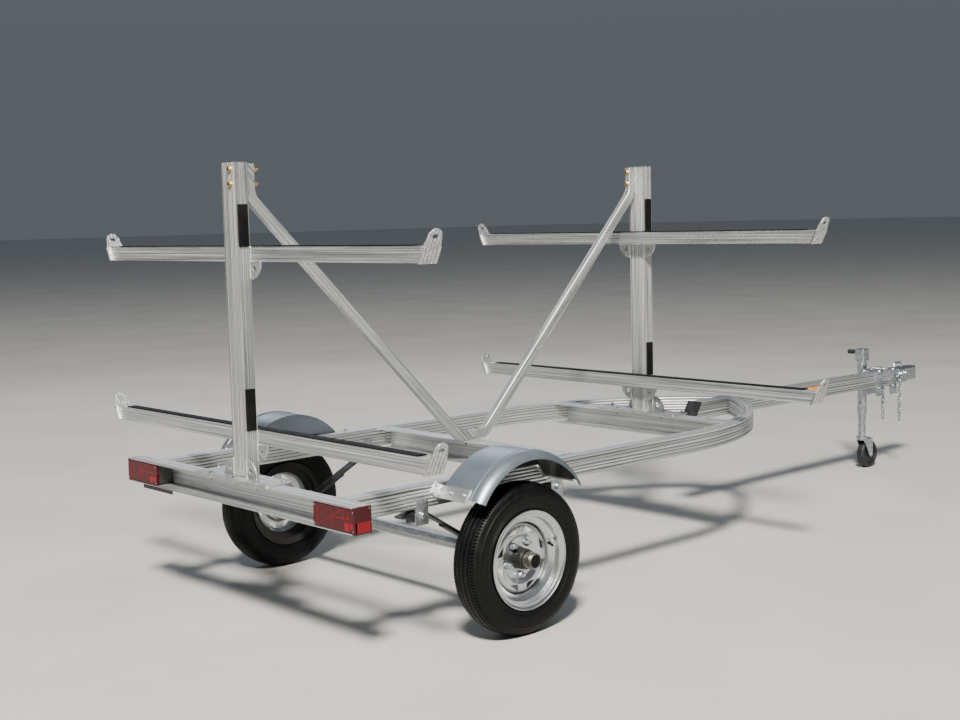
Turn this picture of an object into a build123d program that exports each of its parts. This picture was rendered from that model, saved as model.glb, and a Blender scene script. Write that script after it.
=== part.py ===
# Boat trailer for small hulls: a ribbed aluminium frame whose side rails curve in to a
# square tongue, two masts with four crossbars, leaf springs, two road wheels and a
# swivel jack. +X points forward, +Y left, +Z up. The origin is on the ground, midway
# along the trailer, on its centreline. All sizes are in millimetres.

import os
from math import acos, atan, cos, degrees, radians, sin, sqrt, tan

from build123d import *

os.makedirs("parts", exist_ok=True)

sides = (("left", 1), ("right", -1))

# Stations along the trailer, measured forward from the wheel axle
tail_channel_station = -689.0
nose_station = 3761.0
bend_station = 1115.0
middle_crossmember_station = 388.0
front_crossmember_station = 1410.0
rear_mast_station = -614.5
front_mast_station = 1477.5
tongue_rear_station = 1822.0
tongue_front_station = 3640.0
side_lamp_station = 2755.0
jack_station = 3417.0
chain_station = 3540.0

# Road wheels: the profiles are (distance out from the wheel's middle, radius)
wheel_radius = 264.0
tyre_width = 122.0
half_track = 717.0
tyre_shoulder_drop = 10.0
tyre_shoulder_part = 0.8
tyre_widest_drop = 6.0
bead_radius = 152.4
bead_inset = 3.0
bead_clearance = 0.5
rim_width = 102.0
rim_gauge = 4.0
rim_flange_radius = 172.0
rim_half_profile = (
    (20.0, 128.0),
    (30.0, 150.4),
    (51.0, 152.4),
    (51.0, 169.0),
    (57.0, 172.0),
)
disc_gauge = 5.0
disc_profile = (
    (0.0, 76.0),
    (12.0, 86.0),
    (9.0, 116.0),
    (-6.0, 125.0),
    (3.0, 125.0),
    (14.0, 118.0),
    (17.0, 84.0),
    (5.0, 74.0),
)
window_count = 8
window_circle = 98.5
window_radius = 22.0
window_corner = 6.0
window_turn = 22.5

# Hubs and axle
stud_count = 5
stud_circle = 114.3
stud_radius = 6.0
stud_clearance = 0.7
stud_turn = -90.0
stud_end = 4.0
nut_radius = 10.5
nut_height = 14.0
hub_reach = 62.0
hub_flange_radius = 70.0
hub_flange_gauge = 10.0
hub_barrel_radius = 39.0
pilot_radius = 36.0
pilot_clearance = 0.5
pilot_length = 44.0
hub_cap_radius = 28.0
hub_cap_length = 84.0
hub_cap_chamfer = 6.0
axle_tube_radius = 22.2
axle_shoulder_gap = 6.0
spindle_radius = 15.0
spindle_reach = 22.0
spindle_end_gap = 3.0
bearing_clearance = 0.05

# Frame tubes
frame_top = 544.0
rail_height = 76.2
rail_width = 50.8
rail_to_wheel = 129.0
rail_half_spread = half_track - rail_to_wheel
bend_radius = 1140.6
bend_overrun = 4.0
tube_wall = 3.2
channel_height = 88.9
channel_flange = 74.0
channel_wall = 5.5
tail_overhang = 113.0
tail_half_length = rail_half_spread + tail_overhang
tongue_size = 76.2
tongue_rake = 50.0
plug_thickness = 6.0
plug_overlap = 1.0
plug_corner = 4.0

# Shallow grooves that run along every drawn tube
groove_width = 4.5
groove_depth = 1.2
groove_pitch = 12.7

# Masts and crossbars
mast_width = 82.0
mast_depth = 50.8
mast_top = 1630.0
mast_cap = 4.0
base_plate_thickness = 6.4
base_plate_half_length = 230.0
base_plate_lip = 12.0
base_plate_corner = 12.0
bar_size = 50.8
bar_half_length = 942.0
lower_bar_middle = 685.0
upper_bar_middle = 1318.0
gusset_radius = 62.0
gusset_thickness = 6.4
gusset_hole_radius = 10.0
gusset_hole_part = 0.38

# Leaning end plates of the crossbars, fluted up their outer faces
end_plate_width = 74.0
end_plate_thickness = 6.4
end_plate_lean = 26.2
end_plate_rise = 52.0
end_plate_top_radius = 26.0
end_plate_shoulder = 4.0
slot_length = 24.0
slot_width = 14.0
slot_rise = 30.0
flute_count = 4
flute_pitch = 14.0
flute_width = 5.0
flute_depth = 1.2
flute_length = 58.0

# Rubber strips
pad_width = 38.0
pad_thickness = 4.5
pad_setback = 45.0
mast_pad_height = 145.0

# Bent tube that braces both masts from the middle crossmember
brace_depth = 40.0
brace_width = 28.0
brace_corner = 5.0
brace_bend_radius = 70.0
brace_head_gap = 4.0
brace_top = mast_top - brace_head_gap
brace_head_length = 112.0
brace_bend_height = brace_top - brace_head_length
brace_foot_rear_station = 374.0
brace_foot_front_station = 512.0
brace_rear_offset = -14.0
brace_front_offset = 20.0
brace_side_gap = 0.05

# Springs and their hangers, heights from the ground
spring_width = 44.5
leaf_thickness = 7.0
spring_seat_thickness = 8.0
spring_seat_length = 60.0
spring_corner_station = 62.0
spring_corner_radius = 60.0
slipper_station = 318.0
slipper_radius = 40.0
slipper_crown = 2.7
slipper_tip_station = 395.0
slipper_tip_drop = 18.0
spring_eye_station = 322.0
spring_eye_radius = 15.0
spring_eye_drop = 13.0
second_leaf_station = 205.0
hanger_length = 54.0
hanger_plate = 5.0
hanger_overlap = 38.0
hanger_drop = 56.0
hanger_bolt_radius = 7.0
hanger_bolt_end = 8.0
slipper_bolt_gap = 2.5
eye_bolt_clearance = 0.4
wear_strip = 3.0
u_bolt_radius = 5.0
u_bolt_gap = 0.3
u_bolt_side_gap = 1.0
u_bolt_end = 14.0
tie_plate_length = 84.0
tie_plate_width = 96.0
tie_plate_corner = 8.0
tie_plate_thickness = 8.0

# Fenders
fender_middle_height = 347.5
fender_radius = 291.0
fender_lip_radius = 264.0
fender_half_angle = 57.6
fender_inner_gap = 18.0
fender_inner = rail_half_spread + fender_inner_gap
fender_overhang = 85.0
fender_outer = half_track + fender_overhang
fender_lip_width = 58.0
fender_crease = fender_outer - fender_lip_width
fender_gauge = 2.0
crease_rise = 3.0
crease_width = 12.0
lip_shoulder_width = 14.0
lip_shoulder_drop = 8.0
bracket_angle = 55.3
bracket_height = 48.0
bracket_gauge = 4.8
bracket_foot = 37.0
bracket_end_gap = 4.0

# Lamps
lens_wrap = 12.0
lens_outer = tail_half_length + lens_wrap
lens_width = 216.0
lens_inner = lens_outer - lens_width
lens_depth = 12.0
lens_proud = 2.0
lens_gap = 0.5
lamp_height = 74.0
lamp_side_height = 86.0
lamp_body_depth = 57.0
lamp_body_inset = 3.0
lamp_body_corner = 5.0
side_lamp_length = 105.0
side_lamp_height = 41.0
side_lamp_depth = 20.0
side_lamp_corner = 8.0
side_lamp_taper = 8.0
plate_bracket_length = 210.0
plate_bracket_inset = 206.0
plate_bracket_middle = tail_half_length - plate_bracket_inset
plate_bracket_depth = 24.0
plate_bracket_height = 14.0
plate_bracket_gauge = 3.0

# Coupler
coupler_gauge = 4.5
coupler_edge_radius = 6.75
coupler_lap = 95.0
coupler_floor = 478.0
nose_radius = 35.0
cup_wall_radius = 34.0
ball_radius = 25.9
ball_height = 500.0
latch_rod_radius = 5.0
latch_height = 32.0
latch_setback = 18.0
latch_reach = 6.0
latch_slant = 14.0
latch_bend_radius = 10.0
latch_plate_overlap = 12.0
latch_plate_width = 26.0
latch_plate_gauge = 4.0

# Safety chains
anchor_reach = 24.0
anchor_radius = 4.5
anchor_head_radius = 10.0
anchor_head_thickness = 6.0
link_wire = 6.0
link_length = 40.0
link_width = 22.0
link_count = 8
link_clearance = 2.1
hook_length = 50.0
hook_width = 26.0
hook_mouth = 12.0
hook_mouth_rise = 4.0

# Swivel jack
jack_offset = 103.0
jack_tube_radius = 25.4
jack_tube_wall = 3.0
jack_tube_drop = 190.0
gear_case_foot = 105.0
gear_case_height = 66.0
gear_case_length = 60.0
gear_case_width = 54.0
gear_case_corner = 8.0
gear_case_roof = 4.0
leg_radius = 21.0
leg_top = 538.0
leg_pad_radius = 30.0
leg_pad_thickness = 12.0
swivel_gap = 0.4
pivot_radius = 32.0
pivot_pin_radius = 8.0
pivot_pin_setback = 1.0
bracket_plate_thickness = 6.4
bracket_plate_corner = 6.0
bracket_boss = 16.0
clamp_plate_width = 50.0
clamp_spacing = 136.0
clamp_foot = 418.0
clamp_top = 563.0
clamp_bolt_radius = 5.0
clamp_bolt_gap = 1.0
clamp_bolt_end = 10.0
jack_wheel_radius = 76.0
jack_wheel_width = 40.0
jack_wheel_corner = 6.0
jack_wheel_dish = 8.0
jack_wheel_band = 20.0
jack_hub_radius = 18.0
jack_wheel_side_gap = 2.0
jack_wheel_top_gap = 6.0
caster_trail = 50.0
fork_gauge = 5.0
fork_foot_radius = 16.0
fork_cheek_overlap = 30.0
jack_axle_radius = 6.4
jack_axle_end = 6.0
crank_height = 139.0
crank_shaft_reach = 22.0
crank_arm = 115.0
crank_rod_radius = 6.0
crank_bend_radius = 10.0
crank_grip_radius = 12.5
crank_grip_length = 105.0

# Derived places
tail_station = tail_channel_station - lens_proud
tail_web_station = tail_channel_station + channel_flange
axle_x = -(nose_station + tail_station) / 2
axle_z = wheel_radius
rail_middle_y = rail_half_spread - rail_width / 2
rail_inner_y = rail_half_spread - rail_width
rail_middle_z = frame_top - rail_height / 2
rail_foot = frame_top - rail_height
tongue_middle_z = frame_top - tongue_size / 2
tongue_side = tongue_size / 2
bend_middle_y = bend_radius - rail_middle_y


def ahead(station):
    """X of a station that is measured forward from the axle."""
    return axle_x + station


def ribbed_section(width, height, grooves_across, grooves_up):
    """Draws the section of a drawn tube with grooves in its four faces."""
    Rectangle(width, height)
    if grooves_across:
        with GridLocations(groove_pitch, height, grooves_across, 2):
            Rectangle(groove_width, 2 * groove_depth, mode=Mode.SUBTRACT)
    with GridLocations(width, groove_pitch, 2, grooves_up):
        Rectangle(2 * groove_depth, groove_width, mode=Mode.SUBTRACT)
    Rectangle(width - 2 * tube_wall, height - 2 * tube_wall, mode=Mode.SUBTRACT)


# Ground plan of the space between the rails, which the inner crossmembers fill
inner_bend_radius = bend_radius - rail_width / 2
bay_angle = degrees(acos((bend_middle_y + tongue_side) / inner_bend_radius))
with BuildSketch(Plane.XY) as bay:
    with BuildLine():
        side_line = Line((ahead(tail_web_station), rail_inner_y), (ahead(bend_station), rail_inner_y))
        side_arc = JernArc(side_line @ 1, side_line % 1, inner_bend_radius, -bay_angle)
        Line(side_arc @ 1, ((side_arc @ 1).X, 0))
        Line(((side_arc @ 1).X, 0), (ahead(tail_web_station), 0))
        Line((ahead(tail_web_station), 0), side_line @ 0)
    make_face()
    mirror(about=Plane.XZ)

# Side rails: straight beside the wheels, then curved in to the tongue's sides
outer_bend_radius = bend_radius + rail_width / 2
bend_angle = degrees(acos((bend_middle_y + tongue_side) / outer_bend_radius)) + bend_overrun
for side, sign in sides:
    with BuildPart() as rail:
        with BuildLine(Plane.XY.offset(rail_middle_z)) as run:
            straight = Line(
                (ahead(tail_web_station), sign * rail_middle_y),
                (ahead(bend_station), sign * rail_middle_y),
            )
            JernArc(straight @ 1, straight % 1, bend_radius, -sign * bend_angle)
        with BuildSketch(Plane(origin=straight @ 0, x_dir=(0, 1, 0), z_dir=(1, 0, 0))):
            ribbed_section(rail_width, rail_height, 0, 5)
        sweep(path=run.line)
        tongue_face = Plane(origin=(0, sign * tongue_side, 0), z_dir=(0, sign, 0))
        split(bisect_by=tongue_face, keep=Keep.TOP)
    rail.part.label = f"rail_{side}"
    export_step(rail.part, f"parts/rail_{side}.step")

# Crossmembers: channels that open to the rear, flush with the rails' tops
crossmember_table = (
    # name, rear edge's station, half length, trimmed to the space between the rails
    ("rear_crossmember", tail_channel_station, tail_half_length, False),
    ("middle_crossmember", middle_crossmember_station, rail_inner_y, True),
    ("front_crossmember", front_crossmember_station, rail_inner_y, True),
)
for name, rear_edge, half_length, between_rails in crossmember_table:
    with BuildPart() as channel:
        with BuildSketch(Plane.XZ):
            middle = (ahead(rear_edge) + channel_flange / 2, frame_top - channel_height / 2)
            with Locations(middle):
                Rectangle(channel_flange, channel_height)
            with Locations((middle[0] - channel_wall, middle[1])):
                Rectangle(channel_flange, channel_height - 2 * channel_wall, mode=Mode.SUBTRACT)
        extrude(amount=half_length, both=True)
        if between_rails:
            with BuildSketch(Plane.XY.offset(frame_top)):
                add(bay.sketch)
            extrude(amount=-channel_height, mode=Mode.INTERSECT)
    channel.part.label = name
    export_step(channel.part, f"parts/{name}.step")

# Tongue, its rear end cut on a slope and closed by a black plug
tongue_length = tongue_front_station - tongue_rear_station
with BuildPart() as tongue:
    tongue_start = Plane(
        origin=(ahead(tongue_rear_station) - tongue_rake, 0, tongue_middle_z),
        x_dir=(0, 1, 0),
        z_dir=(1, 0, 0),
    )
    with BuildSketch(tongue_start):
        ribbed_section(tongue_size, tongue_size, 4, 5)
    extrude(amount=tongue_length + tongue_rake)
    slope = Plane(
        origin=(ahead(tongue_rear_station), 0, tongue_middle_z),
        z_dir=(tongue_size, 0, -tongue_rake),
    )
    split(bisect_by=slope, keep=Keep.TOP)
tongue.part.label = "tongue"
export_step(tongue.part, "parts/tongue.step")

with BuildPart() as tongue_plug:
    with BuildSketch(Plane(slope.origin, x_dir=(0, 1, 0), z_dir=slope.z_dir)):
        slope_height = sqrt(tongue_size**2 + tongue_rake**2)
        RectangleRounded(
            tongue_size + 2 * plug_overlap, slope_height + 2 * plug_overlap, plug_corner
        )
    extrude(amount=-plug_thickness)
tongue_plug.part.label = "tongue_plug"
export_step(tongue_plug.part, "parts/tongue_plug.step")

# Masts on their base plates. The bars stand on the side of each mast that faces the other.
mast_table = (
    # mast's station, rear edge of its channel, way towards the other mast
    (rear_mast_station, tail_channel_station, 1),
    (front_mast_station, front_crossmember_station, -1),
)
bar_heights = (lower_bar_middle, upper_bar_middle)
mast_foot = frame_top + base_plate_thickness
bar_shift = (mast_depth + bar_size) / 2
lean = radians(end_plate_lean)
shoulder_run = bar_size / cos(lean)
end_plate_run = (bar_size + end_plate_rise) / cos(lean)

with BuildPart() as base_plates:
    for station, channel_edge, inward in mast_table:
        plate_rear = ahead(channel_edge)
        plate_front = ahead(station) + mast_depth / 2 + base_plate_lip
        with BuildSketch(Plane.XY.offset(frame_top)):
            with Locations(((plate_rear + plate_front) / 2, 0)):
                RectangleRounded(
                    plate_front - plate_rear, 2 * base_plate_half_length, base_plate_corner
                )
        extrude(amount=base_plate_thickness)
base_plates.part.label = "mast_base_plates"
export_step(base_plates.part, "parts/mast_base_plates.step")

with BuildPart() as masts:
    for station, channel_edge, inward in mast_table:
        with BuildSketch(Plane.XY.offset(mast_foot)):
            with Locations((ahead(station), 0)):
                ribbed_section(mast_depth, mast_width, 3, 5)
        extrude(amount=mast_top - mast_foot)
        with BuildSketch(Plane.XY.offset(mast_top - mast_cap)):
            with Locations((ahead(station), 0)):
                Rectangle(mast_depth - tube_wall, mast_width - tube_wall)
        extrude(amount=mast_cap)
masts.part.label = "masts"
export_step(masts.part, "parts/masts.step")

# Quarter-round gussets with a hole: under each bar, and at the foot on the outer face
with BuildPart() as gussets:
    for station, channel_edge, inward in mast_table:
        foot_x = ahead(station) - inward * (mast_depth - gusset_thickness) / 2
        joint_x = ahead(station) + inward * mast_depth / 2
        gusset_table = (
            # place along the trailer, height of the square corner, way the gusset grows
            (foot_x, mast_foot, 1),
            (joint_x, lower_bar_middle - bar_size / 2, -1),
            (joint_x, upper_bar_middle - bar_size / 2, -1),
        )
        for gusset_x, corner_z, way in gusset_table:
            for side, sign in sides:
                corner = Plane(
                    origin=(gusset_x, sign * mast_width / 2, corner_z),
                    x_dir=(0, sign, 0),
                    z_dir=(sign, 0, 0),
                )
                hole_run = gusset_radius * gusset_hole_part
                with BuildSketch(corner):
                    Circle(gusset_radius)
                    with Locations((gusset_radius / 2, way * gusset_radius / 2)):
                        Rectangle(gusset_radius, gusset_radius, mode=Mode.INTERSECT)
                    with Locations((hole_run, way * hole_run)):
                        Circle(gusset_hole_radius, mode=Mode.SUBTRACT)
                extrude(amount=gusset_thickness / 2, both=True)
gussets.part.label = "mast_gussets"
export_step(gussets.part, "parts/mast_gussets.step")

# Four crossbars, their ends cut on the lean of the end plates
with BuildPart() as crossbars:
    for station, channel_edge, inward in mast_table:
        with BuildSketch(Plane.XZ):
            for bar_z in bar_heights:
                with Locations((ahead(station) + inward * bar_shift, bar_z)):
                    ribbed_section(bar_size, bar_size, 3, 3)
        extrude(amount=bar_half_length + bar_size, both=True)
    with BuildSketch(Plane.YZ):
        for bar_z in bar_heights:
            for side, sign in sides:
                with BuildLine():
                    Polyline(
                        (sign * bar_half_length, bar_z - bar_size / 2),
                        (sign * (bar_half_length + bar_size * tan(lean)), bar_z + bar_size / 2),
                        (sign * (bar_half_length + 2 * bar_size), bar_z + bar_size / 2),
                        (sign * (bar_half_length + 2 * bar_size), bar_z - bar_size / 2),
                        close=True,
                    )
                make_face()
    extrude(amount=-ahead(tail_channel_station), both=True, mode=Mode.SUBTRACT)
crossbars.part.label = "crossbars"
export_step(crossbars.part, "parts/crossbars.step")

with BuildPart() as end_plates:
    for station, channel_edge, inward in mast_table:
        for bar_z in bar_heights:
            for side, sign in sides:
                end_plane = Plane(
                    origin=(
                        ahead(station) + inward * bar_shift,
                        sign * bar_half_length,
                        bar_z - bar_size / 2,
                    ),
                    x_dir=(-sign, 0, 0),
                    z_dir=(0, sign * cos(lean), -sin(lean)),
                )
                with BuildSketch(end_plane):
                    with Locations((0, end_plate_run - end_plate_top_radius)):
                        Circle(end_plate_top_radius)
                    with Locations((0, shoulder_run / 2)):
                        Rectangle(end_plate_width - 2 * end_plate_shoulder, shoulder_run)
                    make_hull()
                    with Locations((0, shoulder_run / 2)):
                        Rectangle(end_plate_width, shoulder_run)
                    with Locations((0, (bar_size + slot_rise) / cos(lean))):
                        SlotOverall(slot_length, slot_width, mode=Mode.SUBTRACT)
                extrude(amount=end_plate_thickness)
                with BuildSketch(end_plane.offset(end_plate_thickness)):
                    with Locations((0, flute_length / 2)):
                        with GridLocations(flute_pitch, 0, flute_count, 1):
                            Rectangle(flute_width, flute_length)
                extrude(amount=-flute_depth, mode=Mode.SUBTRACT)
end_plates.part.label = "crossbar_end_plates"
export_step(end_plates.part, "parts/crossbar_end_plates.step")

# Rubber strips: one along each bar's top, and one up each side of the mast above it
with BuildPart() as strips:
    for station, channel_edge, inward in mast_table:
        for bar_z in bar_heights:
            strip_foot = bar_z + bar_size / 2
            with BuildSketch(Plane.XY.offset(strip_foot)):
                with Locations((ahead(station) + inward * bar_shift, 0)):
                    Rectangle(pad_width, 2 * (bar_half_length - pad_setback))
            extrude(amount=pad_thickness)
            for side, sign in sides:
                with BuildSketch(Plane.XZ.offset(-sign * mast_width / 2)):
                    with Locations((ahead(station), strip_foot + mast_pad_height / 2)):
                        Rectangle(pad_width, mast_pad_height)
                extrude(amount=-sign * pad_thickness)
strips.part.label = "rubber_strips"
export_step(strips.part, "parts/rubber_strips.step")

# Brace: one tube bent into a V, bolted to both masts and to the middle crossmember. It
# stands a little askew: its rear head is right of the centreline and its front head left.
brace_swing = front_mast_station - rear_mast_station
brace_skew = atan((brace_front_offset - brace_rear_offset) / brace_swing)
brace_head_reach = (brace_depth * cos(brace_skew) + brace_width * sin(brace_skew)) / 2
brace_head_inset = mast_depth / 2 + brace_head_reach + brace_side_gap
brace_foot_z = frame_top + brace_depth / 2
brace_plane = Plane(
    origin=(ahead(rear_mast_station), brace_rear_offset, 0),
    x_dir=(cos(brace_skew), sin(brace_skew), 0),
    z_dir=(sin(brace_skew), -cos(brace_skew), 0),
)


def along_brace(station):
    """Distance of a station from the rear mast, measured in the brace's own plane."""
    return (station - rear_mast_station) / cos(brace_skew)


brace_rear_u = along_brace(rear_mast_station + brace_head_inset)
brace_front_u = along_brace(front_mast_station - brace_head_inset)
with BuildPart() as brace:
    with BuildLine(brace_plane) as brace_run:
        FilletPolyline(
            (brace_rear_u, brace_top),
            (brace_rear_u, brace_bend_height),
            (along_brace(brace_foot_rear_station), brace_foot_z),
            (along_brace(brace_foot_front_station), brace_foot_z),
            (brace_front_u, brace_bend_height),
            (brace_front_u, brace_top),
            radius=brace_bend_radius,
        )
    brace_start = Plane(
        origin=brace_run.line @ 0, x_dir=brace_plane.x_dir, z_dir=(0, 0, -1)
    )
    with BuildSketch(brace_start):
        RectangleRounded(brace_depth, brace_width, brace_corner)
        Rectangle(brace_depth - 2 * tube_wall, brace_width - 2 * tube_wall, mode=Mode.SUBTRACT)
    sweep(path=brace_run.line)
brace.part.label = "mast_brace"
export_step(brace.part, "parts/mast_brace.step")

# Axle tube with a stepped spindle at each end and a seat for each spring
hub_back = half_track - hub_reach
spindle_end = half_track + spindle_reach
spring_seat_z = axle_z + axle_tube_radius + spring_seat_thickness
with BuildPart() as axle:
    with BuildSketch(Plane.XZ):
        with Locations((axle_x, axle_z)):
            Circle(axle_tube_radius)
    extrude(amount=hub_back - axle_shoulder_gap, both=True)
    with BuildSketch(Plane.XZ):
        with Locations((axle_x, axle_z)):
            Circle(spindle_radius)
    extrude(amount=spindle_end, both=True)
    with BuildSketch(Plane.XY.offset(axle_z)):
        with Locations((axle_x, 0)):
            with GridLocations(0, 2 * rail_middle_y, 1, 2):
                Rectangle(spring_seat_length, spring_width)
    extrude(amount=spring_seat_z - axle_z)
axle.part.label = "axle"
export_step(axle.part, "parts/axle.step")

# Leaf springs: the eye is in front, the rear end slides in its hanger
second_z = spring_seat_z + leaf_thickness / 2
spring_flat_z = second_z + leaf_thickness
slipper_z = rail_foot - wear_strip - leaf_thickness / 2
slipper_corner_z = slipper_z + slipper_crown
eye_z = slipper_z - spring_eye_drop
eye_leaf_z = eye_z - spring_eye_radius + leaf_thickness / 2
second_part_rear = (second_leaf_station - spring_corner_station) / (
    slipper_station - spring_corner_station
)
second_part_front = (second_leaf_station - spring_corner_station) / (
    spring_eye_station - spring_corner_station
)
second_rear_z = second_z + (slipper_corner_z - spring_flat_z) * second_part_rear
second_front_z = second_z + (eye_leaf_z - spring_flat_z) * second_part_front
with BuildPart() as springs:
    for side, sign in sides:
        middle_plane = Plane.XZ.offset(-sign * rail_middle_y)
        with BuildLine(middle_plane) as main_run:
            FilletPolyline(
                (ahead(-slipper_tip_station), slipper_z - slipper_tip_drop),
                (ahead(-slipper_station), slipper_corner_z),
                (ahead(-spring_corner_station), spring_flat_z),
                (ahead(spring_corner_station), spring_flat_z),
                (ahead(spring_eye_station), eye_leaf_z),
                radius=(slipper_radius, spring_corner_radius, spring_corner_radius),
            )
        main_start = Plane(
            origin=main_run.line @ 0, x_dir=(0, 1, 0), z_dir=main_run.line % 0
        )
        with BuildSketch(main_start):
            Rectangle(spring_width, leaf_thickness)
        sweep(path=main_run.line)
        with BuildLine(middle_plane) as second_run:
            FilletPolyline(
                (ahead(-second_leaf_station), second_rear_z),
                (ahead(-spring_corner_station), second_z),
                (ahead(spring_corner_station), second_z),
                (ahead(second_leaf_station), second_front_z),
                radius=spring_corner_radius,
            )
        second_start = Plane(
            origin=second_run.line @ 0, x_dir=(0, 1, 0), z_dir=second_run.line % 0
        )
        with BuildSketch(second_start):
            Rectangle(spring_width, leaf_thickness)
        sweep(path=second_run.line)
        with BuildSketch(middle_plane):
            with Locations((ahead(spring_eye_station), eye_z)):
                Circle(spring_eye_radius)
        extrude(amount=spring_width / 2, both=True)
        with BuildSketch(middle_plane):
            with Locations((ahead(spring_eye_station), eye_z)):
                Circle(hanger_bolt_radius + eye_bolt_clearance)
        extrude(amount=spring_width / 2, both=True, mode=Mode.SUBTRACT)
springs.part.label = "springs"
export_step(springs.part, "parts/springs.step")

# Hangers: two plates beside the rail, a wear strip under it and a bolt between them
hanger_table = (
    # station of the bolt, height of the bolt
    (-slipper_station, slipper_z - leaf_thickness / 2 - hanger_bolt_radius - slipper_bolt_gap),
    (spring_eye_station, eye_z),
)
with BuildPart() as hangers:
    for side, sign in sides:
        middle_plane = Plane.XZ.offset(-sign * rail_middle_y)
        for bolt_station, bolt_z in hanger_table:
            bolt_x = ahead(bolt_station)
            for way in (-1, 1):
                plate_y = sign * rail_middle_y + way * rail_width / 2
                with BuildSketch(Plane.XZ.offset(-plate_y)):
                    with Locations((bolt_x, rail_foot + (hanger_overlap - hanger_drop) / 2)):
                        Rectangle(hanger_length, hanger_overlap + hanger_drop)
                extrude(amount=-way * hanger_plate)
            with BuildSketch(middle_plane):
                with Locations((bolt_x, rail_foot - wear_strip / 2)):
                    Rectangle(hanger_length, wear_strip)
            extrude(amount=rail_width / 2, both=True)
            with BuildSketch(middle_plane):
                with Locations((bolt_x, bolt_z)):
                    Circle(hanger_bolt_radius)
            extrude(amount=rail_width / 2 + hanger_plate + hanger_bolt_end, both=True)
hangers.part.label = "spring_hangers"
export_step(hangers.part, "parts/spring_hangers.step")

# U-bolts round the axle, drawn up through a plate on top of each spring
tie_foot = spring_flat_z + leaf_thickness / 2
u_bolt_run = axle_tube_radius + u_bolt_radius + u_bolt_gap
u_bolt_offset = spring_width / 2 + u_bolt_radius + u_bolt_side_gap
u_bolt_top = tie_foot + tie_plate_thickness + u_bolt_end
with BuildPart() as clamps:
    for side, sign in sides:
        with BuildSketch(Plane.XY.offset(tie_foot)):
            with Locations((axle_x, sign * rail_middle_y)):
                RectangleRounded(tie_plate_length, tie_plate_width, tie_plate_corner)
        extrude(amount=tie_plate_thickness)
        for way in (-1, 1):
            leg_y = sign * rail_middle_y + way * u_bolt_offset
            with BuildLine(Plane.XZ.offset(-leg_y)) as u_run:
                Line((axle_x - u_bolt_run, u_bolt_top), (axle_x - u_bolt_run, axle_z))
                CenterArc((axle_x, axle_z), u_bolt_run, 180, 180)
                Line((axle_x + u_bolt_run, axle_z), (axle_x + u_bolt_run, u_bolt_top))
            with BuildSketch(Plane.XY.offset(u_bolt_top)):
                with Locations((axle_x - u_bolt_run, leg_y)):
                    Circle(u_bolt_radius)
            sweep(path=u_run.line)
            with BuildSketch(Plane.XY.offset(tie_foot + tie_plate_thickness)):
                with Locations((axle_x - u_bolt_run, leg_y), (axle_x + u_bolt_run, leg_y)):
                    RegularPolygon(2 * u_bolt_radius, 6)
            extrude(amount=2 * u_bolt_radius)
clamps.part.label = "spring_clamps"
export_step(clamps.part, "parts/spring_clamps.step")

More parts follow.
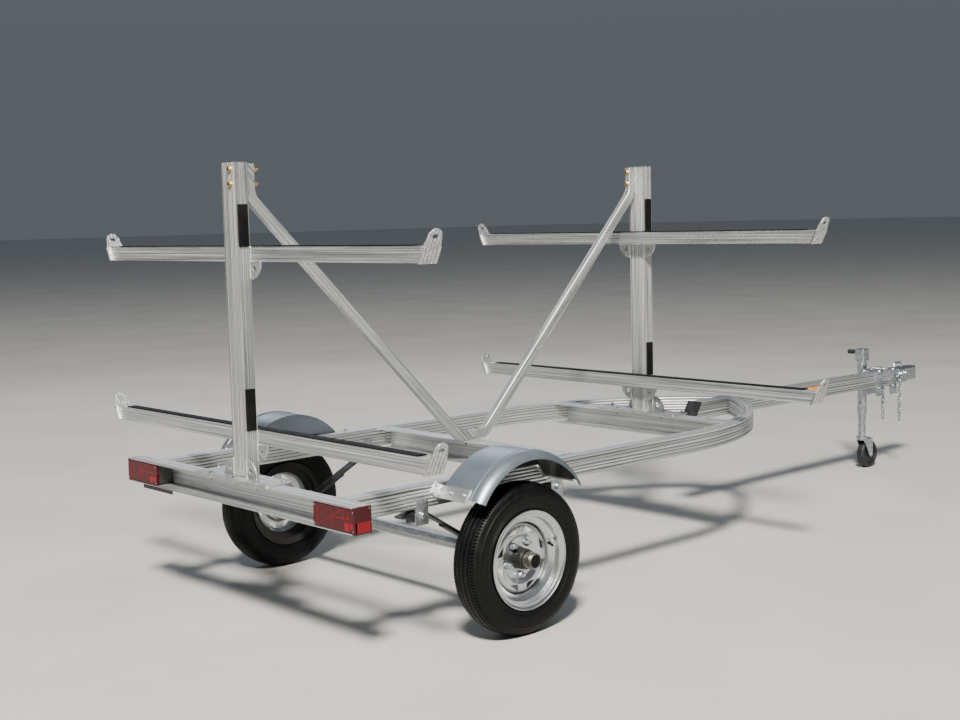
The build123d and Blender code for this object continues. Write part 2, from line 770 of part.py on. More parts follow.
# Road wheels, drawn as sections: across is the distance from the centreline, up the radius
wheel_axis = Axis((axle_x, 0, axle_z), (0, 1, 0))
bead_half_width = rim_width / 2 - bead_inset
tyre_half_width = tyre_width / 2
shoulder_half_width = tyre_half_width * tyre_shoulder_part
shoulder_radius = wheel_radius - tyre_shoulder_drop
widest_radius = (rim_flange_radius + wheel_radius) / 2 - tyre_widest_drop
for side, sign in sides:
    section = Plane(origin=(axle_x, 0, axle_z), x_dir=(0, sign, 0), z_dir=(sign, 0, 0))
    face = Plane(
        origin=(axle_x, sign * half_track, axle_z), x_dir=(sign, 0, 0), z_dir=(0, sign, 0)
    )

    with BuildPart() as tyre:
        with BuildSketch(section):
            with BuildLine():
                foot = Line(
                    (half_track - bead_half_width, bead_radius + bead_clearance),
                    (half_track + bead_half_width, bead_radius + bead_clearance),
                )
                bead = Line(foot @ 1, (half_track + bead_half_width, rim_flange_radius))
                wall = ThreePointArc(
                    bead @ 1,
                    (half_track + tyre_half_width, widest_radius),
                    (half_track + shoulder_half_width, shoulder_radius),
                )
                tread = ThreePointArc(
                    wall @ 1,
                    (half_track, wheel_radius),
                    (half_track - shoulder_half_width, shoulder_radius),
                )
                inner_wall = ThreePointArc(
                    tread @ 1,
                    (half_track - tyre_half_width, widest_radius),
                    (half_track - bead_half_width, rim_flange_radius),
                )
                Line(inner_wall @ 1, foot @ 0)
            make_face()
        revolve(axis=wheel_axis)
    tyre.part.label = f"tyre_{side}"
    export_step(tyre.part, f"parts/tyre_{side}.step")

    with BuildPart() as rim:
        # Barrel with its drop centre
        barrel_points = [(half_track - out, up) for out, up in reversed(rim_half_profile)]
        barrel_points += [(half_track + out, up) for out, up in rim_half_profile]
        with BuildSketch(section):
            with BuildLine():
                Polyline(*barrel_points)
                offset(amount=rim_gauge, side=Side.RIGHT)
            make_face()
        revolve(axis=wheel_axis)
        # Dished disc
        disc_points = [(half_track + out, up) for out, up in disc_profile]
        with BuildSketch(section):
            with BuildLine():
                Polyline(
                    (half_track, pilot_radius + pilot_clearance),
                    *disc_points,
                    (half_track + disc_gauge, pilot_radius + pilot_clearance),
                    close=True,
                )
            make_face()
        revolve(axis=wheel_axis)
        with BuildSketch(face) as windows:
            with PolarLocations(window_circle, window_count, window_turn):
                RegularPolygon(window_radius, 3)
            fillet(windows.vertices(), window_corner)
        extrude(amount=rim_width / 3, both=True, mode=Mode.SUBTRACT)
        with BuildSketch(face):
            with PolarLocations(stud_circle / 2, stud_count, stud_turn):
                Circle(stud_radius + stud_clearance)
        extrude(amount=2 * disc_gauge, both=True, mode=Mode.SUBTRACT)
    rim.part.label = f"rim_{side}"
    export_step(rim.part, f"parts/rim_{side}.step")

    # Hub turned in one piece with its studs, nuts and bearing cap
    cap_root = half_track + pilot_length
    cap_end = half_track + hub_cap_length
    bore_radius = spindle_radius + bearing_clearance
    with BuildPart() as hub:
        with BuildSketch(section):
            with BuildLine():
                Polyline(
                    (hub_back, bore_radius),
                    (hub_back, hub_barrel_radius),
                    (half_track - hub_flange_gauge, hub_barrel_radius),
                    (half_track - hub_flange_gauge, hub_flange_radius),
                    (half_track, hub_flange_radius),
                    (half_track, pilot_radius),
                    (cap_root, pilot_radius),
                    (cap_root, hub_cap_radius),
                    (cap_end - hub_cap_chamfer, hub_cap_radius),
                    (cap_end, hub_cap_radius - hub_cap_chamfer),
                    (cap_end, 0),
                    (spindle_end + spindle_end_gap, 0),
                    (spindle_end + spindle_end_gap, bore_radius),
                    close=True,
                )
            make_face()
        revolve(axis=wheel_axis)
        with BuildSketch(face):
            with PolarLocations(stud_circle / 2, stud_count, stud_turn):
                Circle(stud_radius)
        extrude(amount=disc_gauge + nut_height + stud_end)
        with BuildSketch(face.offset(disc_gauge)):
            with PolarLocations(stud_circle / 2, stud_count, stud_turn):
                RegularPolygon(nut_radius, 6)
        extrude(amount=nut_height)
    hub.part.label = f"hub_{side}"
    export_step(hub.part, f"parts/hub_{side}.step")

# Fenders: a flat band, a crease and a lip that curves down outside the tyre
fender_axis = Axis((axle_x, 0, fender_middle_height), (0, 1, 0))


def fender_section(sign, angle):
    """Plane through the fender's axis, leaning to the rear by angle from upright."""
    turn = radians(angle)
    return Plane(
        origin=(axle_x, 0, fender_middle_height),
        x_dir=(0, sign, 0),
        z_dir=(sign * cos(turn), 0, sign * sin(turn)),
    )


with BuildPart() as fenders:
    for side, sign in sides:
        with BuildSketch(fender_section(sign, fender_half_angle)):
            with BuildLine():
                band = Line((fender_inner, fender_radius), (fender_crease, fender_radius))
                crease = ThreePointArc(
                    band @ 1,
                    (fender_crease + crease_width / 2, fender_radius + crease_rise),
                    (fender_crease + crease_width, fender_radius + crease_rise / 2),
                )
                ThreePointArc(
                    crease @ 1,
                    (fender_outer - lip_shoulder_width, fender_radius - lip_shoulder_drop),
                    (fender_outer, fender_lip_radius),
                )
                offset(amount=fender_gauge, side=Side.RIGHT)
            make_face()
        revolve(axis=fender_axis, revolution_arc=2 * fender_half_angle)
fenders.part.label = "fenders"
export_step(fenders.part, "parts/fenders.step")

# Bent flat bars that carry the fenders' ends from the rails' outer faces
bracket_end = fender_crease - bracket_end_gap
with BuildPart() as brackets:
    for side, sign in sides:
        for way in (1, -1):
            with BuildSketch(fender_section(sign, way * bracket_angle)):
                with BuildLine():
                    Polyline(
                        (rail_half_spread, fender_radius),
                        (bracket_end, fender_radius),
                        (bracket_end, fender_radius + bracket_gauge),
                        (rail_half_spread + bracket_gauge, fender_radius + bracket_gauge),
                        (rail_half_spread + bracket_gauge, fender_radius + bracket_foot),
                        (rail_half_spread, fender_radius + bracket_foot),
                        close=True,
                    )
                make_face()
            extrude(amount=bracket_height / 2, both=True)
brackets.part.label = "fender_brackets"
export_step(brackets.part, "parts/fender_brackets.step")

# Tail lamps in the ends of the rear crossmember: a red lens that wraps round the end
lamp_middle_z = frame_top - channel_height / 2
lens_rear_x = ahead(tail_station)
lens_root_x = lens_rear_x + lens_depth
with BuildPart() as tail_lenses:
    for side, sign in sides:
        with BuildSketch(Plane.XY.offset(lamp_middle_z)):
            with Locations(((lens_rear_x + lens_root_x) / 2, sign * (lens_inner + lens_outer) / 2)):
                Rectangle(lens_depth, lens_outer - lens_inner)
        extrude(amount=lamp_height / 2, both=True)
        side_root = tail_half_length + lens_gap
        side_length = ahead(tail_web_station) - lens_rear_x
        with BuildSketch(Plane.XY.offset(lamp_middle_z)):
            with Locations((lens_rear_x + side_length / 2, sign * (side_root + lens_outer) / 2)):
                Rectangle(side_length, lens_outer - side_root)
        extrude(amount=lamp_side_height / 2, both=True)
tail_lenses.part.label = "tail_lamp_lenses"
export_step(tail_lenses.part, "parts/tail_lamp_lenses.step")

lamp_body_width = tail_half_length - lens_inner - lamp_body_inset
with BuildPart() as lamp_bodies:
    for side, sign in sides:
        with BuildSketch(Plane.XY.offset(lamp_middle_z)):
            body_y = sign * (tail_half_length - lamp_body_width / 2)
            with Locations((lens_root_x + lamp_body_depth / 2, body_y)):
                RectangleRounded(lamp_body_depth, lamp_body_width, lamp_body_corner)
        extrude(amount=lamp_height / 2 - lamp_body_inset, both=True)
lamp_bodies.part.label = "tail_lamp_bodies"
export_step(lamp_bodies.part, "parts/tail_lamp_bodies.step")

# Angle strip for a number plate, under the rear crossmember's left end
strip_rear_x = ahead(tail_channel_station)
with BuildPart() as plate_bracket:
    with BuildSketch(Plane.XY.offset(frame_top - channel_height)):
        with Locations((strip_rear_x + plate_bracket_depth / 2, plate_bracket_middle)):
            Rectangle(plate_bracket_depth, plate_bracket_length)
    extrude(amount=-plate_bracket_gauge)
    with BuildSketch(Plane.XY.offset(frame_top - channel_height)):
        with Locations((strip_rear_x + plate_bracket_gauge / 2, plate_bracket_middle)):
            Rectangle(plate_bracket_gauge, plate_bracket_length)
    extrude(amount=-plate_bracket_height)
plate_bracket.part.label = "number_plate_bracket"
export_step(plate_bracket.part, "parts/number_plate_bracket.step")

with BuildPart() as side_lamps:
    for side, sign in sides:
        with BuildSketch(Plane.XZ.offset(-sign * tongue_side)):
            with Locations((ahead(side_lamp_station), tongue_middle_z)):
                RectangleRounded(side_lamp_length, side_lamp_height, side_lamp_corner)
        extrude(amount=-sign * side_lamp_depth, taper=side_lamp_taper)
side_lamps.part.label = "side_lamps"
export_step(side_lamps.part, "parts/side_lamps.step")

# Coupler: a folded channel over the tongue's end that narrows to the ball socket
coupler_half_width = tongue_side + coupler_gauge
coupler_rear_x = ahead(tongue_front_station) - coupler_lap
coupler_top = frame_top + coupler_gauge
tongue_end_x = ahead(tongue_front_station)
nose_x = ahead(nose_station) - nose_radius
with BuildPart() as coupler:
    with BuildSketch(Plane.XY.offset(coupler_floor)):
        with Locations((nose_x, 0)):
            Circle(nose_radius)
        with Locations(((coupler_rear_x + tongue_end_x) / 2, 0)):
            Rectangle(coupler_lap, 2 * coupler_half_width)
        make_hull()
    extrude(amount=coupler_top - coupler_floor)
    top_edges = coupler.faces().sort_by(Axis.Z)[-1].edges()
    fillet(top_edges.sort_by(Axis.X)[1:], coupler_edge_radius)
    # Room for the tongue, and the open underside behind the socket
    with BuildSketch(Plane.XY.offset(coupler_floor)):
        with Locations((coupler_rear_x, 0)):
            Rectangle(2 * coupler_lap, tongue_size)
    extrude(amount=frame_top - coupler_floor, mode=Mode.SUBTRACT)
    with BuildSketch(Plane.XY.offset(coupler_floor)):
        with Locations((nose_x, 0)):
            Circle(nose_radius - coupler_gauge)
        with Locations((tongue_end_x - coupler_gauge / 2, 0)):
            Rectangle(coupler_gauge, tongue_size)
        make_hull()
        with Locations((nose_x, 0)):
            Circle(cup_wall_radius, mode=Mode.SUBTRACT)
    extrude(amount=frame_top - coupler_gauge - coupler_floor, mode=Mode.SUBTRACT)
    # Ball socket: a straight skirt with half a sphere above it
    with BuildSketch(Plane.XY.offset(coupler_floor)):
        with Locations((nose_x, 0)):
            Circle(ball_radius)
    extrude(amount=ball_height - coupler_floor, mode=Mode.SUBTRACT)
    with Locations((nose_x, 0, ball_height)):
        Sphere(ball_radius, mode=Mode.SUBTRACT)
coupler.part.label = "coupler"
export_step(coupler.part, "parts/coupler.step")

latch_rear_x = coupler_rear_x + latch_setback
latch_front_x = tongue_end_x + latch_reach
latch_rod_z = coupler_top + latch_height - latch_rod_radius
latch_length = latch_front_x - latch_rear_x + 2 * latch_plate_overlap
with BuildPart() as latch:
    with BuildLine(Plane.XZ) as latch_run:
        FilletPolyline(
            (latch_rear_x, coupler_top),
            (latch_rear_x + latch_slant, latch_rod_z),
            (latch_front_x - latch_slant, latch_rod_z),
            (latch_front_x, coupler_top),
            radius=latch_bend_radius,
        )
    with BuildSketch(Plane(origin=latch_run.line @ 0, z_dir=latch_run.line % 0)):
        Circle(latch_rod_radius)
    sweep(path=latch_run.line)
    split(bisect_by=Plane.XY.offset(coupler_top), keep=Keep.TOP)
    with BuildSketch(Plane.XY.offset(coupler_top)):
        with Locations(((latch_rear_x + latch_front_x) / 2, 0)):
            Rectangle(latch_length, latch_plate_width)
    extrude(amount=latch_plate_gauge)
latch.part.label = "coupler_latch"
export_step(latch.part, "parts/coupler_latch.step")

# Safety chains: each hangs from a bolt in the tongue's side, every other link turned
with BuildPart() as anchors:
    for side, sign in sides:
        with BuildSketch(Plane.XZ.offset(-sign * tongue_side)):
            with Locations((ahead(chain_station), tongue_middle_z)):
                Circle(anchor_radius)
        extrude(amount=-sign * anchor_reach)
        with BuildSketch(Plane.XZ.offset(-sign * (tongue_side + anchor_reach))):
            with Locations((ahead(chain_station), tongue_middle_z)):
                RegularPolygon(anchor_head_radius, 6)
        extrude(amount=-sign * anchor_head_thickness)
anchors.part.label = "chain_anchors"
export_step(anchors.part, "parts/chain_anchors.step")

link_inside = link_length / 2 - link_wire
hook_inside = hook_length / 2 - link_wire
link_pitch = 2 * link_inside - link_clearance
first_link_z = tongue_middle_z + anchor_radius - link_inside + link_clearance
last_link_z = first_link_z - (link_count - 1) * link_pitch
hook_z = last_link_z - link_inside - hook_inside + link_clearance
with BuildPart() as chains:
    for side, sign in sides:
        chain_y = sign * (tongue_side + anchor_reach / 2)
        for number in range(link_count):
            link_plane = Plane(
                origin=(ahead(chain_station), chain_y, first_link_z - number * link_pitch),
                x_dir=(0, 0, 1),
                z_dir=(number % 2, 1 - number % 2, 0),
            )
            with BuildSketch(link_plane):
                SlotOverall(link_length, link_width)
                SlotOverall(2 * link_inside, link_width - 2 * link_wire, mode=Mode.SUBTRACT)
            extrude(amount=link_wire / 2, both=True)
chains.part.label = "safety_chains"
export_step(chains.part, "parts/safety_chains.step")

with BuildPart() as hooks:
    for side, sign in sides:
        hook_plane = Plane(
            origin=(ahead(chain_station), sign * (tongue_side + anchor_reach / 2), hook_z),
            x_dir=(0, 0, 1),
            z_dir=(0, 1, 0),
        )
        with BuildSketch(hook_plane):
            SlotOverall(hook_length, hook_width)
            SlotOverall(2 * hook_inside, hook_width - 2 * link_wire, mode=Mode.SUBTRACT)
            with Locations((-hook_mouth_rise, hook_width / 2)):
                Rectangle(hook_mouth, 2 * link_wire, mode=Mode.SUBTRACT)
        extrude(amount=link_wire / 2, both=True)
hooks.part.label = "chain_hooks"
export_step(hooks.part, "parts/chain_hooks.step")

# Swivel jack. Its bracket clamps the tongue between one wide plate and two narrow ones.
jack_x = ahead(jack_station)
pivot_z = (clamp_foot + clamp_top) / 2
bracket_face = tongue_side + bracket_plate_thickness
bolt_half_length = bracket_face + clamp_bolt_end
bolt_rise = clamp_bolt_radius + clamp_bolt_gap
with BuildPart() as jack_bracket:
    with BuildSketch(Plane.XZ.offset(-tongue_side)):
        with Locations((jack_x, pivot_z)):
            RectangleRounded(
                clamp_spacing + clamp_plate_width, clamp_top - clamp_foot, bracket_plate_corner
            )
    extrude(amount=-bracket_plate_thickness)
    with BuildSketch(Plane.XZ.offset(-bracket_face)):
        with Locations((jack_x, pivot_z)):
            Circle(pivot_radius)
    extrude(amount=-bracket_boss)
    with BuildSketch(Plane.XZ.offset(tongue_side)):
        with Locations((jack_x, pivot_z)):
            with GridLocations(clamp_spacing, 0, 2, 1):
                RectangleRounded(clamp_plate_width, clamp_top - clamp_foot, bracket_plate_corner)
    extrude(amount=bracket_plate_thickness)
    with BuildSketch(Plane.XZ):
        for bolt_z in (frame_top + bolt_rise, frame_top - tongue_size - bolt_rise):
            with Locations((jack_x, bolt_z)):
                with GridLocations(clamp_spacing, 0, 2, 1):
                    Circle(clamp_bolt_radius)
    extrude(amount=bolt_half_length, both=True)
    with BuildSketch(Plane.XZ.offset(-tongue_side)):
        with Locations((jack_x, pivot_z)):
            Circle(pivot_pin_radius + bearing_clearance)
    extrude(amount=-(bracket_plate_thickness + bracket_boss), mode=Mode.SUBTRACT)
jack_bracket.part.label = "jack_bracket"
export_step(jack_bracket.part, "parts/jack_bracket.step")

# Outer tube with its swivel flange and pin, and the gear case on top
swivel_face = bracket_face + bracket_boss + swivel_gap
pin_face = tongue_side + pivot_pin_setback
jack_tube_foot = pivot_z - jack_tube_drop
case_foot = pivot_z + gear_case_foot
case_top = case_foot + gear_case_height
with BuildPart() as jack_tube:
    with BuildSketch(Plane.XY.offset(jack_tube_foot)):
        with Locations((jack_x, jack_offset)):
            Circle(jack_tube_radius)
    extrude(amount=case_foot - jack_tube_foot)
    with BuildSketch(Plane.XY.offset(case_foot)):
        with Locations((jack_x, jack_offset)):
            RectangleRounded(gear_case_length, gear_case_width, gear_case_corner)
    extrude(amount=gear_case_height)
    fillet(jack_tube.faces().sort_by(Axis.Z)[-1].edges(), gear_case_roof)
    with BuildSketch(Plane.XZ.offset(-swivel_face)):
        with Locations((jack_x, pivot_z)):
            Circle(pivot_radius)
    extrude(amount=-(jack_offset - swivel_face))
    with BuildSketch(Plane.XZ.offset(-pin_face)):
        with Locations((jack_x, pivot_z)):
            Circle(pivot_pin_radius)
    extrude(amount=-(jack_offset - pin_face))
    with BuildSketch(Plane.XY.offset(jack_tube_foot)):
        with Locations((jack_x, jack_offset)):
            Circle(jack_tube_radius - jack_tube_wall)
    extrude(amount=case_top - gear_case_roof - jack_tube_foot, mode=Mode.SUBTRACT)
jack_tube.part.label = "jack_tube"
export_step(jack_tube.part, "parts/jack_tube.step")

# Side crank: out from the case, forward along the arm, out again through the grip
crank_z = pivot_z + crank_height
crank_root = jack_offset + gear_case_width / 2
arm_y = crank_root + crank_shaft_reach
grip_end = arm_y + crank_rod_radius + crank_grip_length
with BuildPart() as crank:
    with BuildLine(Plane.XY.offset(crank_z)) as crank_run:
        FilletPolyline(
            (jack_x, crank_root),
            (jack_x, arm_y),
            (jack_x + crank_arm, arm_y),
            (jack_x + crank_arm, grip_end),
            radius=crank_bend_radius,
        )
    with BuildSketch(Plane(origin=crank_run.line @ 0, z_dir=(0, 1, 0))):
        Circle(crank_rod_radius)
    sweep(path=crank_run.line)
crank.part.label = "jack_crank"
export_step(crank.part, "parts/jack_crank.step")

grip_root = arm_y + crank_bend_radius + crank_rod_radius
with BuildPart() as grip:
    with BuildSketch(Plane.XZ.offset(-grip_root)):
        with Locations((jack_x + crank_arm, crank_z)):
            Circle(crank_grip_radius)
            Circle(crank_rod_radius, mode=Mode.SUBTRACT)
    extrude(amount=-(grip_end - grip_root))
grip.part.label = "jack_grip"
export_step(grip.part, "parts/jack_grip.step")

# Inner leg, and the caster that turns under it
fork_top = 2 * jack_wheel_radius + jack_wheel_top_gap + fork_gauge
leg_foot = fork_top + swivel_gap
leg_root = leg_foot + leg_pad_thickness
with BuildPart() as leg:
    with BuildSketch(Plane.XY.offset(leg_foot)):
        with Locations((jack_x, jack_offset)):
            Circle(leg_pad_radius)
            Circle(pivot_pin_radius + bearing_clearance, mode=Mode.SUBTRACT)
    extrude(amount=leg_pad_thickness)
    with BuildSketch(Plane.XY.offset(leg_root)):
        with Locations((jack_x, jack_offset)):
            Circle(leg_radius)
    extrude(amount=leg_top - leg_root)
leg.part.label = "jack_leg"
export_step(leg.part, "parts/jack_leg.step")

fork_half_gap = jack_wheel_width / 2 + jack_wheel_side_gap
fork_half_width = fork_half_gap + fork_gauge
caster_x = jack_x + caster_trail
with BuildPart() as fork:
    with BuildSketch(Plane.XY.offset(fork_top - fork_gauge)):
        with Locations((jack_x, jack_offset)):
            Circle(leg_pad_radius)
        with Locations((caster_x, jack_offset)):
            Circle(fork_half_width)
        make_hull()
    extrude(amount=fork_gauge)
    for way in (-1, 1):
        with BuildSketch(Plane.XZ.offset(-(jack_offset + way * fork_half_gap))):
            with Locations((caster_x, jack_wheel_radius)):
                Circle(fork_foot_radius)
            with Locations(((jack_x + caster_x) / 2, fork_top - fork_gauge / 2)):
                Rectangle(caster_trail + fork_cheek_overlap, fork_gauge)
            make_hull()
        extrude(amount=-way * fork_gauge)
    with BuildSketch(Plane.XZ.offset(-jack_offset)):
        with Locations((caster_x, jack_wheel_radius)):
            Circle(jack_axle_radius)
    extrude(amount=fork_half_width + jack_axle_end, both=True)
    with BuildSketch(Plane.XY.offset(fork_top)):
        with Locations((jack_x, jack_offset)):
            Circle(pivot_pin_radius)
    extrude(amount=leg_pad_thickness - pivot_pin_setback)
fork.part.label = "jack_fork"
export_step(fork.part, "parts/jack_fork.step")

caster_middle = (caster_x, jack_offset, jack_wheel_radius)
caster_half_width = jack_wheel_width / 2
caster_half_profile = (
    (caster_half_width, jack_axle_radius + bearing_clearance),
    (caster_half_width, jack_hub_radius),
    (caster_half_width - jack_wheel_dish, jack_hub_radius),
    (caster_half_width - jack_wheel_dish, jack_wheel_radius - jack_wheel_band),
    (caster_half_width, jack_wheel_radius - jack_wheel_band),
    (caster_half_width, jack_wheel_radius - jack_wheel_corner),
    (caster_half_width - jack_wheel_corner, jack_wheel_radius),
)
with BuildPart() as caster:
    with BuildSketch(Plane(origin=caster_middle, x_dir=(0, 1, 0), z_dir=(1, 0, 0))):
        with BuildLine():
            Polyline(
                *caster_half_profile,
                *[(-across, up) for across, up in reversed(caster_half_profile)],
                close=True,
            )
        make_face()
    revolve(axis=Axis(caster_middle, (0, 1, 0)))
caster.part.label = "jack_wheel"
export_step(caster.part, "parts/jack_wheel.step")
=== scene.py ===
"""Looks of a small aluminium boat trailer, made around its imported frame.

Shapes are written in millimetres in the trailer's own frame (+X forward, +Y left, +Z up,
ground at 0) and new_mesh() turns them to metres. Camera, lights and floor are in metres.
"""

from math import acos, atan2, cos, hypot, pi, radians, sin, sqrt, tan

import bmesh
import bpy
import numpy as np
from mathutils import Matrix, Vector


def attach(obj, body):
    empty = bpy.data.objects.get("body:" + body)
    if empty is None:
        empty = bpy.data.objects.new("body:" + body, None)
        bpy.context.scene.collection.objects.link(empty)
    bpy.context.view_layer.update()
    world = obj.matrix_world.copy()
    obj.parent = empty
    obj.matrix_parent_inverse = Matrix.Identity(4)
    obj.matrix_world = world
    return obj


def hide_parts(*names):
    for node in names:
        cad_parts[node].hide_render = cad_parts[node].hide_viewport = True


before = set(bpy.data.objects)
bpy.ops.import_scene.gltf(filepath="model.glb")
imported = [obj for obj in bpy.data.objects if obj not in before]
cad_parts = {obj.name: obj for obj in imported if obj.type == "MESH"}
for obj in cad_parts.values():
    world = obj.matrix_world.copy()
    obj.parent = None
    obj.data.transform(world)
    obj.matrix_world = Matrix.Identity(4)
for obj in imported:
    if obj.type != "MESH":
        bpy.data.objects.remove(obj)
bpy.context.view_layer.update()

SIDES = (("left", 1), ("right", -1))
SIGNS = (1, -1)
FORWARD = (1, 0, 0)
LEFT = (0, 1, 0)
UP = (0, 0, 1)
DOWN = (0, 0, -1)

# Stations, heights and sizes of the frame
AXLE_X = -1535
AXLE_Z = 264
HALF_TRACK = 717
FRAME_TOP = 544
FLANGE_UNDER_Z = FRAME_TOP - 5.5
RAIL_MIDDLE_Y = 562.6
RAIL_HALF = 25.4
RAIL_OUTER_Y = RAIL_MIDDLE_Y + RAIL_HALF
RAIL_INNER_Y = RAIL_MIDDLE_Y - RAIL_HALF
BEND_START_X = -420
BEND_CENTRE_Y = 578
BEND_RADIUS = RAIL_MIDDLE_Y + BEND_CENTRE_Y
PLATE_TOP = 550.4
MAST_X = (-2149.5, -57.5)
MAST_DEPTH = 50.8
MAST_WIDTH = 82
BRACE_MIDDLE_X = -1092
BRACE_SLOPE = 45.2
BAR_SIZE = 50.8
BAR_HEIGHTS = (685, 1318)
BAR_HALF_LENGTH = 942
END_PLATE_LEAN = 26.2
TONGUE_HALF = 38.1
TONGUE_MIDDLE_Z = 505.9
FENDER_AXIS_Z = 347.5
RIB_PITCH = 12.7
MAST_RIB_PITCH = 8
BAR_RIB_PITCH = 11
FLUTE_PITCH = 14

# Camera, as fitted to the photo: metres and degrees
CAMERA_PLACE = (-4.7453, -4.0829, 1.4177)
CAMERA_TURNS = (47.771, -5.797, -1.404)
CAMERA_LENS = 51.99


def put_in_scene(name, data):
    """An object in the scene that shows a mesh, a camera or a light."""
    thing = bpy.data.objects.new(name, data)
    bpy.context.scene.collection.objects.link(thing)
    return thing


def set_camera():
    """Stands the camera where the trailer is seen from behind its right side."""
    yaw, pitch, roll = (radians(turn) for turn in CAMERA_TURNS)
    ahead = Vector((cos(pitch) * cos(yaw), cos(pitch) * sin(yaw), sin(pitch)))
    right = Vector((sin(yaw), -cos(yaw), 0))
    up = right.cross(ahead)
    across = cos(roll) * right + sin(roll) * up
    upward = cos(roll) * up - sin(roll) * right
    data = bpy.data.cameras.new("camera")
    data.sensor_width = 36
    data.lens = CAMERA_LENS
    camera = put_in_scene("camera", data)
    turn = Matrix((across, upward, -ahead)).transposed().to_4x4()
    camera.matrix_world = Matrix.Translation(CAMERA_PLACE) @ turn
    bpy.context.scene.camera = camera


set_camera()


# Finishes
def linear(code):
    """Turns an sRGB hex colour to the linear colour that a shader takes."""
    parts = [int(code[i : i + 2], 16) / 255 for i in (1, 3, 5)]
    return [c / 12.92 if c <= 0.04045 else ((c + 0.055) / 1.055) ** 2.4 for c in parts] + [1]


def wire(kind, settings=None, inputs=None, tree=None):
    """Adds a shader node, makes its settings, and gives its sockets numbers or other nodes'
    outputs. Its tree is the one that those outputs are in, unless it is given."""
    if tree is None:
        tree = next(value.id_data for value in inputs.values() if isinstance(value, bpy.types.NodeSocket))
    node = tree.nodes.new("ShaderNode" + kind)
    for name, value in (settings or {}).items():
        setattr(node, name, value)
    for socket, value in (inputs or {}).items():
        if isinstance(value, bpy.types.NodeSocket):
            tree.links.new(value, node.inputs[socket])
        else:
            node.inputs[socket].default_value = value
    return node


def reckon(operation, *values):
    """The result of one sum on up to three values."""
    return wire("Math", {"operation": operation}, dict(enumerate(values))).outputs[0]


def reckon_vector(operation, *vectors):
    """The result of one sum on vectors; a length or a dot product is a value."""
    node = wire("VectorMath", {"operation": operation}, dict(enumerate(vectors)))
    return node.outputs["Value" if operation in ("LENGTH", "DOT_PRODUCT") else "Vector"]


def split(vector):
    """The X, Y and Z of a vector."""
    return list(wire("SeparateXYZ", None, {"Vector": vector}).outputs)


def join(x, y, z):
    """A vector from its X, Y and Z."""
    return wire("CombineXYZ", None, {"X": x, "Y": y, "Z": z}).outputs[0]


def facing(place):
    """The way that the surface faces, for the tree that place is in."""
    return wire("NewGeometry", tree=place.id_data).outputs["Normal"]


def begin_finish(name, **shader):
    """Starts a finish: its material, its shader and the object's own coordinates."""
    material = bpy.data.materials.new(name)
    material.use_nodes = True
    tree = material.node_tree
    tree.nodes.clear()
    surface = wire("BsdfPrincipled", tree=tree)
    for socket, value in shader.items():
        surface.inputs[socket.replace("_", " ")].default_value = value
    wire("OutputMaterial", None, {"Surface": surface.outputs["BSDF"]})
    place = wire("TexCoord", tree=tree).outputs["Object"]
    return material, surface, place


def blotches(place, size_mm, detail=2, rough=0.5):
    """Noise whose patches are about size_mm across, as a value from 0 to 1."""
    inputs = {"Vector": place, "Scale": 1000 / size_mm, "Detail": detail, "Roughness": rough}
    return wire("TexNoise", None, inputs).outputs["Fac"]


def cells(place, size_mm):
    """Crystals or flakes about size_mm across, each with its own value from 0 to 1."""
    inputs = {"Vector": place, "Scale": 1000 / size_mm, "Randomness": 1}
    colour = wire("TexVoronoi", None, inputs).outputs["Color"]
    return wire("SeparateColor", None, {"Color": colour}).outputs["Red"]


def spread(value, low, high, start=0.3, end=0.7):
    """Maps a value's middle part, start to end, to the range low to high."""
    inputs = {"Value": value, "From Min": start, "From Max": end, "To Min": low, "To Max": high}
    return wire("MapRange", None, inputs).outputs["Result"]


def tint(share, first, second):
    """Mixes two colours, each a hex code or another node's colour, by a share."""
    colours = [linear(c) if isinstance(c, str) else c for c in (first, second)]
    mix = wire("Mix", {"data_type": "RGBA"}, {0: share, 6: colours[0], 7: colours[1]})
    return mix.outputs[2]


def feed(surface, **values):
    """Gives other nodes' outputs to some of a shader's sockets."""
    for socket, value in values.items():
        surface.id_data.links.new(value, surface.inputs[socket.replace("_", " ")])


def relief(surface, height, depth_mm, share=1):
    """Bumps the surface by height, over depth_mm."""
    inputs = {"Height": height, "Distance": depth_mm / 1000, "Strength": share}
    feed(surface, Normal=wire("Bump", None, inputs).outputs["Normal"])


def patchy(name, patches, colours, glosses=None, amount=(1, 0.3, 0.7), grain=None, **shader):
    """A finish that goes from one colour and gloss to another in patches, over a fine grain.
    Patches are given as blotches() takes them; amount is the second colour's share and the
    part of the noise it spreads over; grain is its blotches, its depth in mm and a share."""
    material, surface, place = begin_finish(name, **shader)
    noise = blotches(place, *patches)
    share, start, end = amount
    colour = tint(spread(noise, 0, share, start, end), *colours)
    feed(surface, Base_Color=colour)
    if glosses:
        feed(surface, Roughness=spread(noise, *glosses))
    if grain:
        relief(surface, blotches(place, *grain[0]), *grain[1:])
    return material


# How far the drawing lines of a tube run and how far apart they are. Real die lines are
# under 1 mm apart and are drawn 5 mm apart, so that they show.
DIE_LINE_LENGTH = 900
DIE_LINE_PITCH = 5
STRETCH = {
    way: [1000 / (DIE_LINE_LENGTH if axis == way else DIE_LINE_PITCH) for axis in "xyz"] for way in "xyz"
}


def round_the_bend(place):
    """Coordinates that follow the side rails: along, distance from the bend's centre, up."""
    x, y, z = split(place)
    past = reckon("MAXIMUM", reckon("SUBTRACT", x, BEND_START_X / 1000), 0)
    out = reckon("ADD", reckon("ABSOLUTE", y), BEND_CENTRE_Y / 1000)
    return join(x, reckon_vector("LENGTH", join(past, out, 0)), z)


